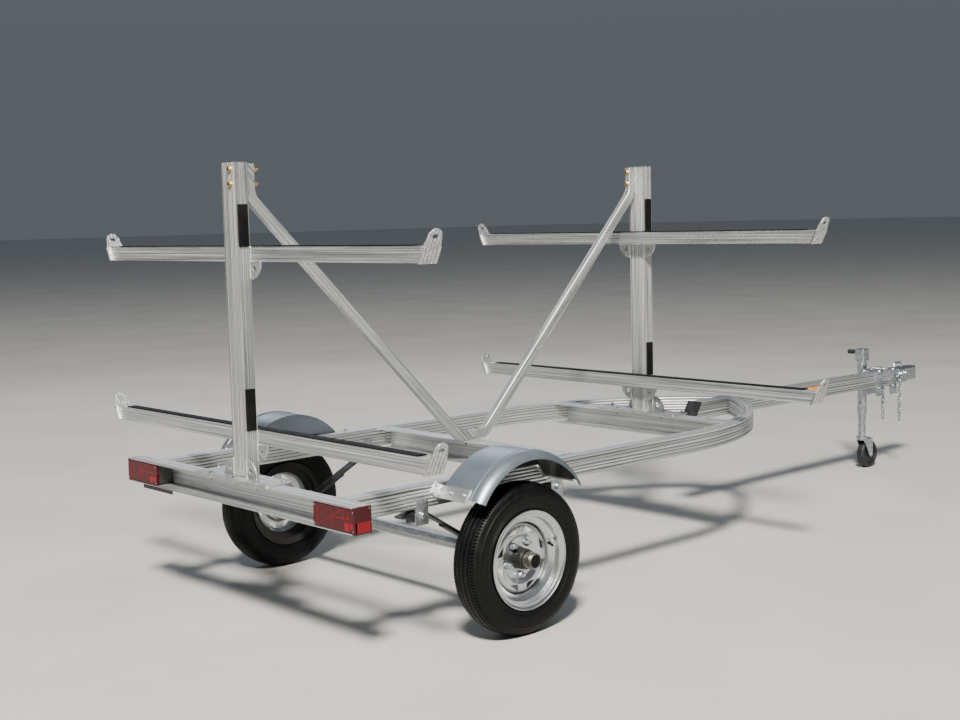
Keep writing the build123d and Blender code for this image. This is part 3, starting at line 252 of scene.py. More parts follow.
def along_the_brace(place):
    """Coordinates that follow the two slanted runs of the brace, folded about its middle."""
    x, y, z = split(place)
    away = reckon("ABSOLUTE", reckon("SUBTRACT", x, BRACE_MIDDLE_X / 1000))
    inputs = {"Vector": join(away, y, z), "Angle": radians(BRACE_SLOPE)}
    return wire("VectorRotate", {"rotation_type": "Y_AXIS"}, inputs).outputs[0]


def drawn_aluminium(name, way, follow=None, across=None, pitch_mm=RIB_PITCH, groove_shade="#66686a", start_mm=0):
    """Mill-finish drawn aluminium: soft light and dark lines run along each tube, with faint
    grey clouds of oxide, and a broad gloss that the lines break up. Most tubes also have
    low ribs along them, and painted shade darkens their grooves; across says over which
    axes."""
    material, surface, place = begin_finish(name, Metallic=1)
    along = follow(place) if follow else place
    stretched = reckon_vector("MULTIPLY", along, STRETCH[way])
    lines = blotches(stretched, 1000, 3, 0.7)
    clouds = blotches(place, 160, 3)
    colour = tint(spread(lines, 0, 1), "#8b8e91", "#f0f2f2")
    colour = tint(spread(clouds, 0, 0.35, 0.45, 0.75), colour, "#a0a2a0")
    gloss = reckon("ADD", spread(lines, 0.40, 0.60), spread(clouds, -0.03, 0.07))
    height = lines
    if across:
        over = reckon("ADD", reckon_vector("DOT_PRODUCT", along, across), start_mm / 1000)
        groove_distance = reckon("PINGPONG", over, pitch_mm / 2000)
        crown = spread(groove_distance, 0, 1, 0.0004, 0.0022)
        # Level faces have no ribs and no painted groove shade
        level = reckon("ABSOLUTE", split(facing(place))[2])
        crown = reckon("MAXIMUM", crown, spread(level, 0, 1, 0.7, 0.9))
        # Painted shade: the grooves between the ribs are darkened with a darker grey
        colour = tint(crown, groove_shade, colour)
        height = reckon("MULTIPLY_ADD", lines, 0.4, crown)
    feed(surface, Base_Color=colour, Roughness=gloss)
    relief(surface, height, 0.7, 0.8)
    return material


def weld_aluminium():
    """Aluminium weld bead, left as laid: bright, with a little grey soot."""
    material, surface, place = begin_finish("aluminium_weld_bead", Metallic=1, Roughness=0.28)
    soot = spread(blotches(place, 25, 3), 0, 1, 0.5, 0.8)
    feed(surface, Base_Color=tint(soot, "#dcddde", "#8d8f90"))
    relief(surface, blotches(place, 1.5), 0.1, 0.3)
    return material


def galvanised_steel(name, crystal_mm, dark, pale, gloss, painted_shade_inside=None):
    """Hot-dip galvanised steel: zinc crystals, each a slightly different grey and gloss,
    dulled by a milky film. A wheel also gets painted shade on its inner half, near black
    and dull, which makes its windows look dark."""
    material, surface, place = begin_finish(name, Metallic=1)
    tone = cells(place, crystal_mm)
    film = spread(blotches(place, 60, 3), 0, 0.5, 0.4, 0.75)
    colour = tint(film, tint(tone, dark, pale), "#b3b7b8")
    shine = spread(tone, gloss, gloss + (0.05 if painted_shade_inside else 0.16), 0, 1)
    # Painted shade: the wheel's inner half, towards the axle, is turned near black and dull
    if painted_shade_inside:
        shaded_inside = spread(reckon("ABSOLUTE", split(place)[1]), 0, 1, *painted_shade_inside)
        colour = tint(shaded_inside, "#131211", colour)
        shine = wire("Mix", None, {0: shaded_inside, 2: 0.75, 3: shine}).outputs[0]
        feed(surface, Metallic=shaded_inside)
    feed(surface, Base_Color=colour, Roughness=shine)
    relief(surface, tone, 0.003 if painted_shade_inside else 0.012, 0.3)
    return material


def silver_fender_coat():
    """Formed plastic fender with a satin silver coat: blue-grey, fine metal flake, and a
    broad highlight, and near black on the side that faces the axle. The flake is
    under 0.1 mm and is drawn 1.5 mm across."""
    material, surface, place = begin_finish("satin_silver_coated_plastic", Coat_Roughness=0.3)
    haze = blotches(place, 120, 4)
    colour = tint(cells(place, 1.5), "#5f6a74", "#77828c")
    colour = tint(spread(haze, 0, 0.35, 0.45, 0.75), colour, "#8b9298")
    from_axis = reckon_vector("SUBTRACT", place, (AXLE_X / 1000, 0, FENDER_AXIS_Z / 1000))
    from_axis = reckon_vector("MULTIPLY", from_axis, (1, 0, 1))
    outward = reckon_vector("DOT_PRODUCT", facing(place), from_axis)
    coated = spread(outward, 0, 1, -0.02, -0.01)
    metal, coat = (reckon("MULTIPLY", coated, share) for share in (0.7, 0.3))
    feed(surface, Metallic=metal, Coat_Weight=coat, Roughness=spread(haze, 0.3, 0.4))
    feed(surface, Base_Color=tint(coated, "#0c0c0d", colour))
    return material


def moulded_lens(name, deep, bright):
    """Moulded acrylic lamp lens: clear gloss outside, with small moulded prisms inside that
    break the colour into light and dark."""
    material, surface, place = begin_finish(name, IOR=1.49, Roughness=0.12, Specular_IOR_Level=0.3)
    inputs = {"Vector": place, "Scale": 1000 / 5, "Randomness": 0}
    prisms = wire("TexVoronoi", {"distance": "CHEBYCHEV"}, inputs).outputs["Distance"]
    colour = tint(spread(prisms, 0, 1, 0.1, 0.5), bright, deep)
    glow = spread(blotches(place, 60, 1), 0, 0.5)
    feed(surface, Base_Color=tint(glow, colour, deep))
    relief(surface, prisms, 0.2, 0.4)
    return material


# The ribs' phase is set by start_mm, so that the painted groove shade lies in the grooves
RIB_START = 2.1
FLUTE_START = -9.5
channel_y = drawn_aluminium("drawn_aluminium_channel", "y")
tube_x = drawn_aluminium("ribbed_aluminium_tongue", "x", across=UP, start_mm=RIB_START)
tube_y = drawn_aluminium("ribbed_aluminium_crossbar", "y", None, (1, 0, 1), BAR_RIB_PITCH, "#a6a8a9")
tube_z = drawn_aluminium("ribbed_aluminium_mast", "z", None, (1, 1, 0), MAST_RIB_PITCH, "#85888b")
fluted_plate = drawn_aluminium(
    "fluted_aluminium_end_plate", "z", None, FORWARD, FLUTE_PITCH, "#85878a", FLUTE_START
)
tube_bent = drawn_aluminium("ribbed_aluminium_bent_rail", "x", round_the_bend, UP, start_mm=RIB_START)
tube_brace = drawn_aluminium("drawn_aluminium_bent_brace", "x", along_the_brace)
# Rolled plate, sawn and laser cut, mill finish: even pale grey with a fine grain and a few
# duller handling marks
plate = patchy(
    "rolled_aluminium_plate", (40, 3), ("#c9cbcb", "#a4a7a7"), (0.4, 0.56), (1, 0.35, 0.7),
    ((2, 4, 0.7), 0.05, 0.4), Metallic=1,
)
weld = weld_aluminium()
galvanised = galvanised_steel("hot_dip_galvanised_steel", 8, "#8f959a", "#b4babe", 0.3)
# The wheel steel gets painted shade, near black, on its inner half
rim_zinc = galvanised_steel("bright_galvanised_wheel_steel", 3, "#b9bdbf", "#cfd3d5", 0.28, (0.700, 0.716))
dull_zinc = galvanised_steel("oiled_zinc_plated_cap", 14, "#5f5a55", "#837d77", 0.34)
# Electroplated zinc with a clear passivate: cool bright metal with a faint cloudiness
zinc = patchy(
    "bright_zinc_plated_steel", (18, 3), ("#c3cbd1", "#989fa4"), (0.2, 0.36),
    grain=((1.5, 3), 0.04, 0.4), Metallic=1,
)
# Yellow chromate over zinc plating: gold that turns paler and greener in patches
gold_zinc = patchy("yellow_chromate_zinc", (9,), ("#c6a55a", "#b8a977"), (0.26, 0.4), Metallic=1)
# Spring steel dipped in black paint: soft gloss with pale road dust on it
spring_paint = patchy(
    "black_painted_spring_steel", (35, 5, 0.65), ("#08090a", "#25221f"), (0.3, 0.66),
    (0.7, 0.48, 0.75), ((3, 3), 0.15, 0.4),
)
fender_coat = silver_fender_coat()
# Vulcanised rubber: near black with a dull sheen, and brown road dust in patches
tyre_black = patchy(
    "moulded_tyre_rubber", (30, 6, 0.7), ("#030405", "#1a1917"), (0.38, 0.62),
    (0.3, 0.5, 0.75), ((1.2, 3), 0.06, 0.4), Specular_IOR_Level=0.18,
)
# Extruded rubber strip: deep matt black with a grey bloom
rubber = patchy(
    "extruded_black_rubber", (50, 4), ("#0a0a0b", "#1d1c1c"), (0.6, 0.8),
    (0.6, 0.45, 0.75), ((1.5,), 0.08, 0.5), Specular_IOR_Level=0.12,
)
# Injection-moulded polypropylene: a low even gloss over a fine spark-eroded grain. The
# grain is 0.3 mm and is drawn 1.2 mm across.
plastic = patchy(
    "moulded_black_polypropylene", (30, 4), ("#131416", "#2b2b2c"), (0.42, 0.6),
    (0.6, 0.5, 0.8), ((1.2,), 0.06, 0.6),
)
red_lens = moulded_lens("red_acrylic_lens", "#2a0107", "#52030d")
# Painted light: a brighter copy of the red lens stands in for light on the ribs and the side panel
lit_red_lens = moulded_lens("red_acrylic_lens_painted_lit", "#5c030e", "#900818")
amber_lens = moulded_lens("amber_acrylic_lens", "#d46c00", "#ffb62a")


def modify(part, name, kind, **settings):
    """Adds a modifier with its settings to a part."""
    modifier = part.modifiers.new(name, kind)
    for setting, value in settings.items():
        setattr(modifier, setting, value)


def round_edges(part, round_mm, degrees):
    """Rounds the edges where two faces turn by more than some degrees."""
    edges = {"limit_method": "ANGLE", "angle_limit": radians(degrees), "width": round_mm / 1000}
    modify(part, "soft_edges", "BEVEL", segments=2, use_clamp_overlap=True, **edges)


# The frame's own parts
def dress(node, material, edge_mm):
    """Gives a part its finish and rounds its sharp edges by edge_mm."""
    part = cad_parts[node]
    part.data.materials.clear()
    part.data.materials.append(material)
    part.data.polygons.foreach_set("material_index", np.zeros(len(part.data.polygons), np.int32))
    if edge_mm:
        modify(part, "close_seams", "WELD", merge_threshold=0.00001)
        round_edges(part, edge_mm, 32)
        modify(part, "even_shading", "WEIGHTED_NORMAL", keep_sharp=False, weight=60)


DRESSING = (
    # finish, edge rounding in mm, parts
    (tube_bent, 0.4, ("rail_left", "rail_right")),
    (channel_y, 1.5, ("rear_crossmember", "middle_crossmember", "front_crossmember")),
    (tube_x, 0.4, ("tongue",)),
    (tube_z, 0.4, ("masts",)),
    (tube_y, 0.4, ("crossbars",)),
    (tube_brace, 0.8, ("mast_brace",)),
    (plate, 1.2, ("mast_base_plates",)),
    (plate, 0.8, ("mast_gussets", "fender_brackets")),
    (fluted_plate, 0.8, ("crossbar_end_plates",)),
    (rubber, 1.2, ("rubber_strips",)),
    (galvanised, 1, ("axle",)),
    (galvanised, 0.8, ("spring_hangers",)),
    (spring_paint, 0.8, ("springs",)),
    (zinc, 0.6, ("spring_clamps", "coupler", "coupler_latch", "chain_anchors")),
    (zinc, 0.6, ("jack_bracket", "jack_leg", "jack_fork")),
    (zinc, 0.8, ("jack_tube",)),
    (zinc, 0, ("jack_crank",)),
    (fender_coat, 0, ("fenders",)),
    (plastic, 1, ("tongue_plug", "tail_lamp_bodies", "jack_wheel")),
    (plastic, 0.6, ("jack_grip",)),
    (plastic, 0.5, ("number_plate_bracket",)),
    (amber_lens, 1.5, ("side_lamps",)),
)
for material, edge_mm, parts in DRESSING:
    for node in parts:
        dress(node, material, edge_mm)


# How shapes are made: each is a list of points in millimetres and a list of faces
def grid(rows, wide, first=0):
    """Faces that join rows of points, each row a closed ring, numbered from first."""
    faces = []
    for low in range(first, first + (rows - 1) * wide, wide):
        for column in range(wide):
            beside = (column + 1) % wide
            faces.append((low + column, low + beside, low + wide + beside, low + wide + column))
    return faces


def skin(rows, capped=False):
    """A skin over rings of equally many points, closed at both ends if it is capped."""
    wide = len(rows[0])
    points = [point for row in rows for point in row]
    faces = grid(len(rows), wide)
    if capped:
        faces.append(tuple(reversed(range(wide))))
        faces.append(tuple(range(len(points) - wide, len(points))))
    return points, faces


def square_axes(direction):
    """The direction at unit length, and two more that are square to it and each other."""
    along = Vector(direction).normalized()
    helper = Vector(UP) if abs(along.z) < 0.9 else Vector(FORWARD)
    across = helper.cross(along).normalized()
    return along, across, along.cross(across)


def ring(centre, across, up, radius, count):
    """Points evenly round a circle."""
    turns = [2 * pi * n / count for n in range(count)]
    return [centre + (across * cos(turn) + up * sin(turn)) * radius for turn in turns]


def turned(profile, centre, direction, around):
    """A lathe-turned shape from (distance along, radius) points. A profile that ends where
    it began is a ring; any other is closed at both ends."""
    along, across, up = square_axes(direction)
    centre = Vector(centre)
    rows = [ring(centre + along * reach, across, up, radius, around) for reach, radius in profile]
    return skin(rows, profile[0] != profile[-1])


def rectangle(first, last, low, high):
    """A rectangle as an outline of (across, up) points."""
    return [(first, low), (last, low), (last, high), (first, high)]


def sided(outline, sign):
    """An outline as it is for sign 1, or its mirror image, which runs round the same way."""
    return outline if sign > 0 else [(-a, b) for a, b in reversed(outline)]


def prism(outline, origin, across, up, depth, edge=0.8):
    """A flat piece from a convex outline of (across, up) points, its far edge chamfered."""
    origin, across, up = Vector(origin), Vector(across), Vector(up)
    out = across.cross(up).normalized()
    middle_a = sum(a for a, b in outline) / len(outline)
    middle_b = sum(b for a, b in outline) / len(outline)
    rows = []
    for lift, inset in ((0, 0), (depth - edge, 0), (depth, edge)):
        row = []
        for a, b in outline:
            size = hypot(a - middle_a, b - middle_b)
            keep = (size - 1.3 * inset) / size
            spot = (middle_a + (a - middle_a) * keep, middle_b + (b - middle_b) * keep)
            row.append(origin + across * spot[0] + up * spot[1] + out * lift)
        rows.append(row)
    return skin(rows, True)


def rod(path, radius, sides=10, closed=False):
    """A round bar along a path; radius may be a list with one value for each point."""
    path = [Vector(point) for point in path]
    count = len(path)
    sizes = radius if isinstance(radius, list) else [radius] * count
    rows = []
    normal = None
    for n, point in enumerate(path):
        if closed:
            way = path[(n + 1) % count] - path[n - 1]
        else:
            way = path[min(n + 1, count - 1)] - path[max(n - 1, 0)]
        way.normalize()
        if normal is None:
            normal = square_axes(way)[1]
        normal = (normal - way * normal.dot(way)).normalized()
        rows.append(ring(point, normal, way.cross(normal), sizes[n], sides))
    return skin(rows + rows[:1]) if closed else skin(rows, True)


# A weld's pools: their pitch, and how thick each is from its start on
POOL_PITCH = 5
POOL_SWELL = ((0, 0.78), (0.2, 1), (0.6, 0.97), (0.9, 0.8))


def bead(start, end, size):
    """A weld bead: overlapping pools, each laid on the last, from start to end."""
    start, end = Vector(start), Vector(end)
    pools = max(2, round((end - start).length / POOL_PITCH))
    path, sizes = [], []
    for pool in range(pools):
        for share, swell in POOL_SWELL:
            path.append(start.lerp(end, (pool + share) / pools))
            sizes.append(size * swell)
    return rod(path + [end], sizes + [size * 0.5], 8)


def hexagon(at, direction, flats, height):
    """A hexagon nut or head, its corners cut off by a cone."""
    along, across, up = square_axes(direction)
    at = Vector(at)
    # Corners and middles of the flats by turns: (radius, how far the cone cuts it down)
    edge = [(flats / sqrt(3), 0.16 * flats), (flats / 2, 0.04 * flats)] * 6
    foot = [(radius, 0) for radius, cut in edge]
    rim = [(radius, height - cut) for radius, cut in edge]
    rows = []
    for level in (foot, rim, [(flats * 0.44, height)] * 12):
        row = []
        for n, (radius, lift) in enumerate(level):
            row.append(at + along * lift + (across * cos(n * pi / 6) + up * sin(n * pi / 6)) * radius)
        rows.append(row)
    return skin(rows, True)


def washer(at, direction, outer, thickness):
    """A washer whose outer edges are rounded off."""
    edge = thickness * 0.3
    profile = [(0, outer - edge), (edge, outer), (thickness - edge, outer), (thickness, outer - edge)]
    return turned(profile, at, direction, 24)


THREAD_PITCH = 1.75


def threads(at, direction, radius, length):
    """A bolt's threaded end. The crests are drawn for every turn of the thread."""
    root = radius * 0.86
    turns = max(2, round(length / THREAD_PITCH))
    profile = [(0, root)]
    for n in range(turns):
        low = n * length / turns
        profile += [(low + 0.35 * THREAD_PITCH, radius), (low + 0.6 * THREAD_PITCH, radius)]
        profile.append((low + THREAD_PITCH, root))
    return turned(profile[:-1] + [(length, radius * 0.7)], at, direction, 14)


def domed_head(at, direction, radius):
    """A round head such as a coach bolt or a pan-head screw has."""
    rise = radius * 0.42
    profile = [(0, radius), (rise * 0.35, radius * 0.97)]
    profile += [(rise * sin(turn), radius * 0.97 * cos(turn)) for turn in (0.5, 0.8, 1.1, 1.35)]
    return turned(profile + [(rise, 0)], at, direction, 20)


def fastener(at, direction, thread, kind):
    """The visible end of a bolt: a dome, or a washer with a head on it, or a washer with a
    nut and the threads that stand out of it."""
    if kind == "dome":
        return [domed_head(at, direction, 1.1 * thread)]
    gauge = 0.18 * thread
    way = Vector(direction).normalized()
    seat = Vector(at) + way * gauge
    shapes = [washer(at, way, 1.08 * thread, gauge)]
    if kind == "head":
        return shapes + [hexagon(seat, way, 1.55 * thread, 0.64 * thread)]
    shapes.append(hexagon(seat, way, 1.55 * thread, 0.85 * thread))
    return shapes + [threads(seat, way, thread / 2, 1.5 * thread)]


def new_mesh(name, shapes):
    """One mesh in metres, made of shapes in millimetres, with its faces turned outward."""
    points, faces = [], []
    for shape_points, shape_faces in shapes:
        base = len(points)
        points.extend(tuple(Vector(point) / 1000) for point in shape_points)
        faces.extend(tuple(base + n for n in face) for face in shape_faces)
    mesh = bpy.data.meshes.new(name)
    mesh.from_pydata(points, [], faces)
    work = bmesh.new()
    work.from_mesh(mesh)
    bmesh.ops.remove_doubles(work, verts=work.verts, dist=0.000002)
    bmesh.ops.recalc_face_normals(work, faces=work.faces)
    work.to_mesh(mesh)
    work.free()
    return mesh


def hang(name, mesh, body, material, replaces=(), sharp=34):
    """Gives a mesh its finish and shading and makes it ride on its body."""
    mesh.polygons.foreach_set("use_smooth", np.ones(len(mesh.polygons), bool))
    mesh.set_sharp_from_angle(angle=radians(sharp))
    mesh.materials.clear()
    mesh.materials.append(material)
    piece = put_in_scene(name, mesh)
    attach(piece, body)
    if replaces:
        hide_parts(*replaces)


def fit(name, body, material, shapes, replaces=(), sharp=34):
    """Makes one piece of some shapes and hangs it on its body."""
    hang(name, new_mesh(name, shapes), body, material, replaces, sharp)


# Road wheels: places are given as distance out from the wheel's middle, radius and angle
def wheel_point(sign, out, radius, turn):
    """A place on a wheel, in the trailer's frame."""
    return AXLE_X + radius * cos(turn), sign * (HALF_TRACK + out), AXLE_Z + radius * sin(turn)


TREAD_PITCHES = 138
PITCH_STEPS = (0, 0.30, 0.36, 0.44, 0.47, 0.53, 0.56, 0.64, 0.70)
WALL_STEPS = (0, 4)
TREAD_LINES = (4, 8.3, 8.8, 12.2, 12.7, 15.5, 24.1, 26.9, 27.4, 30.6, 31.1, 37, 37.5, 43, 48.8)
SIPE_LINES = (8.3, 12.7, 26.9, 31.1)
CROWN_CENTRE = 139.9
CROWN_RADIUS = 124.1
TYRE_WALL = (
    (51.4, 250), (54, 245), (57, 238.4), (58.8, 232.6), (60.2, 231.6), (60.3, 229.8),
    (59.6, 228.8), (60.7, 224), (61, 218), (60.8, 211), (60.2, 205), (59.4, 199.6),
    (60.4, 198.4), (60.4, 196), (59.2, 194.8), (57.5, 188), (55.5, 182), (54.3, 178.6),
    (54.6, 177.4), (54, 175.6), (52, 174.2), (50.2, 171.5), (48, 165), (47.4, 153.2),
)


def tread_depth(out, step):
    """How far the tread lies below its crown at a place: grooves, sipes, shoulder notches."""
    if 8.5 < out < 12.5:
        return 6.5
    if 27 < out < 31:
        return 6
    if out in SIPE_LINES and 0.46 < step < 0.54:
        return 3
    if out > 37.2 and 0.35 < step < 0.65:
        return 5.2 - (out - 37.5) * 0.18
    return 0


def tread_point(sign, line, pitch, step):
    """A place on the tread: on a line round it, at a step of one of its pitches."""
    out = abs(line)
    zigzag = 1.5 * (abs(2 * step - 1) * 2 - 1) if 4 < out < 33 else 0
    radius = CROWN_CENTRE + sqrt(CROWN_RADIUS**2 - line**2) - tread_depth(out, step)
    # The ribs next to the middle one are set half a pitch on
    shift = 0.5 if 10 <= out < 29 else 0
    return wheel_point(sign, line + zigzag, radius, 2 * pi * (pitch + step + shift) / TREAD_PITCHES)


def tyre_shape(sign):
    """A trailer tyre: five ribs between zigzag grooves, sipes at the ribs' edges, a notched
    shoulder, and a wall with a raised ring at its widest and at the bead."""
    lines = [-line for line in reversed(TREAD_LINES)] + [0] + list(TREAD_LINES)
    pitches = range(TREAD_PITCHES)
    steps = [(pitch, step) for pitch in pitches for step in PITCH_STEPS]
    points = [tread_point(sign, line, *step) for line in lines for step in steps]
    per_pitch = len(PITCH_STEPS)
    around = len(steps)
    faces = grid(len(lines), around)
    wall_turns = [2 * pi * (pitch + PITCH_STEPS[n]) / TREAD_PITCHES for pitch in pitches for n in WALL_STEPS]
    wall_around = len(wall_turns)
    span_ends = [*WALL_STEPS, per_pitch]
    feet = []
    for way, edge in ((-1, 0), (1, (len(lines) - 1) * around)):
        first = len(points)
        points += [wheel_point(sign, way * out, radius, t) for out, radius in TYRE_WALL for t in wall_turns]
        faces += grid(len(TYRE_WALL), wall_around, first)
        # The wall has fewer points than the tread, so the faces between them have many sides
        for near in range(wall_around):
            pitch, n = divmod(near, len(WALL_STEPS))
            span = range(span_ends[n], span_ends[n + 1] + 1)
            run = [edge + (pitch * per_pitch + k) % around for k in span]
            faces.append((*run, first + (near + 1) % wall_around, first + near))
        feet.append(len(points) - wall_around)
    left, right = feet
    for column in range(wall_around):
        beside = (column + 1) % wall_around
        faces.append((left + column, left + beside, right + beside, right + column))
    return points, faces


# Sections of the wheel, as (out, radius): the outer half of its barrel, first the face that
# the tyre sits on, then the open face
BARREL_OUTER_HALF = (
    (17, 128.4), (21, 129.8), (31, 150.6), (46.6, 152.4), (48.6, 154.4), (48.9, 160),
    (50.4, 166), (54.5, 171.2), (57.4, 172), (59.6, 171.2), (60.2, 169.6), (59.2, 168.4),
    (56, 167.6), (53.6, 164.4), (52.8, 160.6), (53.6, 159.4), (53.4, 157.6), (52.4, 156.6),
    (51.8, 151.4), (50.2, 149.2), (47.4, 148.2), (34, 147), (31.6, 145.8), (25, 133),
    (20, 126.2), (16, 124.4),
)
# Outer face of the disc, from its bore outward, its sheet and its holes
DISC_FACE = (
    (5, 36.6), (5, 66), (5.8, 72), (8.6, 77), (14.4, 82), (16.6, 85), (17.4, 90),
    (17, 104), (15.6, 112), (12.6, 117), (7, 120.5), (2, 122.4), (-6, 124.6),
)
DISC_SHEET = 4
DISC_BORE_RADIUS = 36.4
WINDOW = ((19, 87.5), (60, 82.5), (19, 114))
TAB = [(4.4, 88), (12, 88), (9, 111), (4.4, 111)]
THROUGH_THE_DISC = (-20, 40)
STUD_CIRCLE_RADIUS = 57.15
STUD_TURNS = [radians(-90 + 72 * n) for n in range(5)]


def soft_corners(corners, cut, steps=4):
    """An outline whose corners are rounded off."""
    corners = [Vector(corner).to_3d() for corner in corners]
    outline = []
    for before, corner, after in zip(corners[-1:] + corners, corners, corners[1:] + corners[:1]):
        back = (before - corner).normalized() * cut
        on = (after - corner).normalized() * cut
        for share in (k / steps for k in range(steps + 1)):
            spot = corner + back * (1 - share) ** 2 + on * share**2
            outline.append((spot.x, spot.y))
    return outline


def wheel_ring(sign, section, around):
    """A ring about the axle, from a closed section of (out, radius) points."""
    turns = [2 * pi * n / around for n in range(around)]
    rows = [[wheel_point(sign, out, radius, turn) for turn in turns] for out, radius in section]
    return skin(rows + rows[:1])


def wheel_prism(sign, outline, turn, low, high, edge=0):
    """A block through the wheel's face from an outline of (sideways, outward) points."""
    rows = []
    for out, inset in ((low, 0), (high - edge, 0), (high, edge)):
        row = []
        for side, up in outline:
            row.append(wheel_point(sign, out, hypot(side, up - inset), turn + atan2(side, up)))
        rows.append(row)
    return skin(rows, True)


def cut_mesh(name, solid, cutters, round_mm):
    """Cuts shapes out of a solid and softens the cut edges."""
    body = put_in_scene(name, new_mesh(name, [solid]))
    cutter = put_in_scene(name + "_cutter", new_mesh(name + "_cutter", cutters))
    modify(body, "cut", "BOOLEAN", object=cutter, solver="EXACT")
    round_edges(body, round_mm, 50)
    graph = bpy.context.evaluated_depsgraph_get()
    graph.update()
    result = bpy.data.meshes.new_from_object(body.evaluated_get(graph))
    for leftover in (body, cutter):
        bpy.data.objects.remove(leftover)
    return result


def rim_pieces(side, sign):
    """The steel wheel: a rolled barrel, and a pressed disc with four pairs of windows."""
    body = f"wheel_{side}"
    section = list(BARREL_OUTER_HALF) + [(-out, radius) for out, radius in reversed(BARREL_OUTER_HALF)]
    barrel = wheel_ring(sign, section, 120)
    fit(f"wheel_barrel_{side}", body, rim_zinc, [barrel], [f"rim_{side}"], 28)
    back = [(out - DISC_SHEET, max(radius - 0.6, DISC_BORE_RADIUS)) for out, radius in reversed(DISC_FACE)]
    disc = wheel_ring(sign, list(DISC_FACE) + back, 144)
    window = soft_corners(WINDOW, 7)
    quarters = [n * pi / 2 for n in range(4)]
    cutters = []
    for turn in quarters:
        for way in (1, -1):
            cutters.append(wheel_prism(sign, sided(window, way), turn, *THROUGH_THE_DISC))
    slit = soft_corners(rectangle(-2.2, 2.2, 92, 109), 1.8, 3)
    cutters.append(wheel_prism(sign, slit, quarters[1], *THROUGH_THE_DISC))
    pressed = cut_mesh(f"wheel_disc_{side}", disc, cutters, 0.9)
    hang(f"wheel_disc_{side}", pressed, body, rim_zinc, (), 30)
    # Stiffening tabs pressed between the windows of each pair
    tabs = []
    for turn in quarters:
        for way in (-1, 1):
            tabs.append(wheel_prism(sign, soft_corners(sided(TAB, way), 2.5, 3), turn, 15, 18.9, 1.2))
    fit(f"wheel_disc_tabs_{side}", body, rim_zinc, tabs)
    # Tyre valve through the barrel, with its cap
    turn = radians(14)
    root = Vector(wheel_point(sign, 21, 133, turn))
    way = Vector(wheel_point(sign, 47, 121, turn)) - root
    stem = [(-6, 6.5), (-2, 8), (2, 8), (4, 5.4), (17, 4.4), (18, 3.6)]
    cap = [(20, 3.6), (20, 4.8), (31, 4.6), (32, 3.2), (32, 0)]
    fit(f"tyre_valve_{side}", body, rubber, [turned(stem + cap, root, way, 18)])


# Sections of the hub's turned pieces, as (out, radius)
HUB_BARREL = (
    (-62, 15.1), (-62, 37), (-60, 39), (-10, 39), (-10, 68.5), (-8.5, 70), (-1.2, 70), (0, 69),
    (0, 36), (30, 36), (33, 34.6), (42.6, 34.2), (44, 32.8), (44, 26), (22.5, 26), (22.5, 15.1),
    (-62, 15.1),
)
GREASE_CAP = (
    (42, 26.5), (46, 27.4), (47, 28), (51, 28), (51.6, 27), (53.4, 27), (54, 28), (60, 28),
    (60.6, 27.1), (62, 27.1), (62.6, 28), (75, 28), (76, 27.2), (78, 27.2), (78.8, 27.8), (82, 27.4),
    (84, 25.8), (84, 22.6), (81.5, 22.2), (81.5, 0),
)
GREASE_PLUG = (
    (80, 22.3), (83, 22.3), (83.8, 21.6), (83.8, 12), (82.6, 11), (82.6, 6), (83.6, 5), (83.6, 0),
)
NUT_SEAT = ((0, 10.2), (3.6, 12.2), (5, 12.2), (5.6, 11.4))


def hub_pieces(side, sign):
    """The hub: painted barrel, plated nuts on threaded studs, grease cap with a rubber plug."""
    body = f"wheel_{side}"
    centre = (AXLE_X, sign * HALF_TRACK, AXLE_Z)
    out = Vector((0, sign, 0))
    barrel = turned(HUB_BARREL, centre, out, 48)
    fit(f"hub_barrel_{side}", body, spring_paint, [barrel], [f"hub_{side}"])
    nuts = []
    for turn in STUD_TURNS:
        root = Vector(wheel_point(sign, 5, STUD_CIRCLE_RADIUS, turn))
        nuts.append(turned(NUT_SEAT, root, out, 24))
        nuts.append(hexagon(root + out * 5.2, out, 19, 11.5))
        nuts.append(threads(root + out * 12, out, 6.2, 10.5))
    fit(f"wheel_nuts_{side}", body, zinc, nuts)
    cap = turned(GREASE_CAP, centre, out, 48)
    fit(f"grease_cap_{side}", body, dull_zinc, [cap])
    plug = turned(GREASE_PLUG, centre, out, 32)
    fit(f"grease_plug_{side}", body, rubber, [plug])


for side, sign in SIDES:
    tyre = tyre_shape(sign)
    fit(f"tyre_tread_{side}", f"wheel_{side}", tyre_black, [tyre], [f"tyre_{side}"], 38)
    rim_pieces(side, sign)
    hub_pieces(side, sign)


# Safety chains: round wire links and hooks where the plain ones hang
CHAIN_X = 2005
CHAIN_Y = 50.1
FIRST_LINK_Z = 498.5
LINK_PITCH = 25.9
LINK_COUNT = 8
HOOK_Z = 286.3
HOOK_GATE = rectangle(-2.4, 2.4, -17, 15)
WIRE_RADIUS = 3


def loop_path(middle, sideways, straight, radius, first=0, last=360, steps=28):
    """Centreline of a link: two half circles and two straights, long way up. Angles run
    from the sideways direction."""
    middle, sideways = Vector(middle), Vector(sideways)
    path = []
    for n in range(steps + (last - first < 360)):
        turn = radians(first + (last - first) * n / steps)
        lift = straight if sin(turn) >= 0 else -straight
        path.append(middle + sideways * radius * cos(turn) + Vector((0, 0, lift + radius * sin(turn))))
    return path


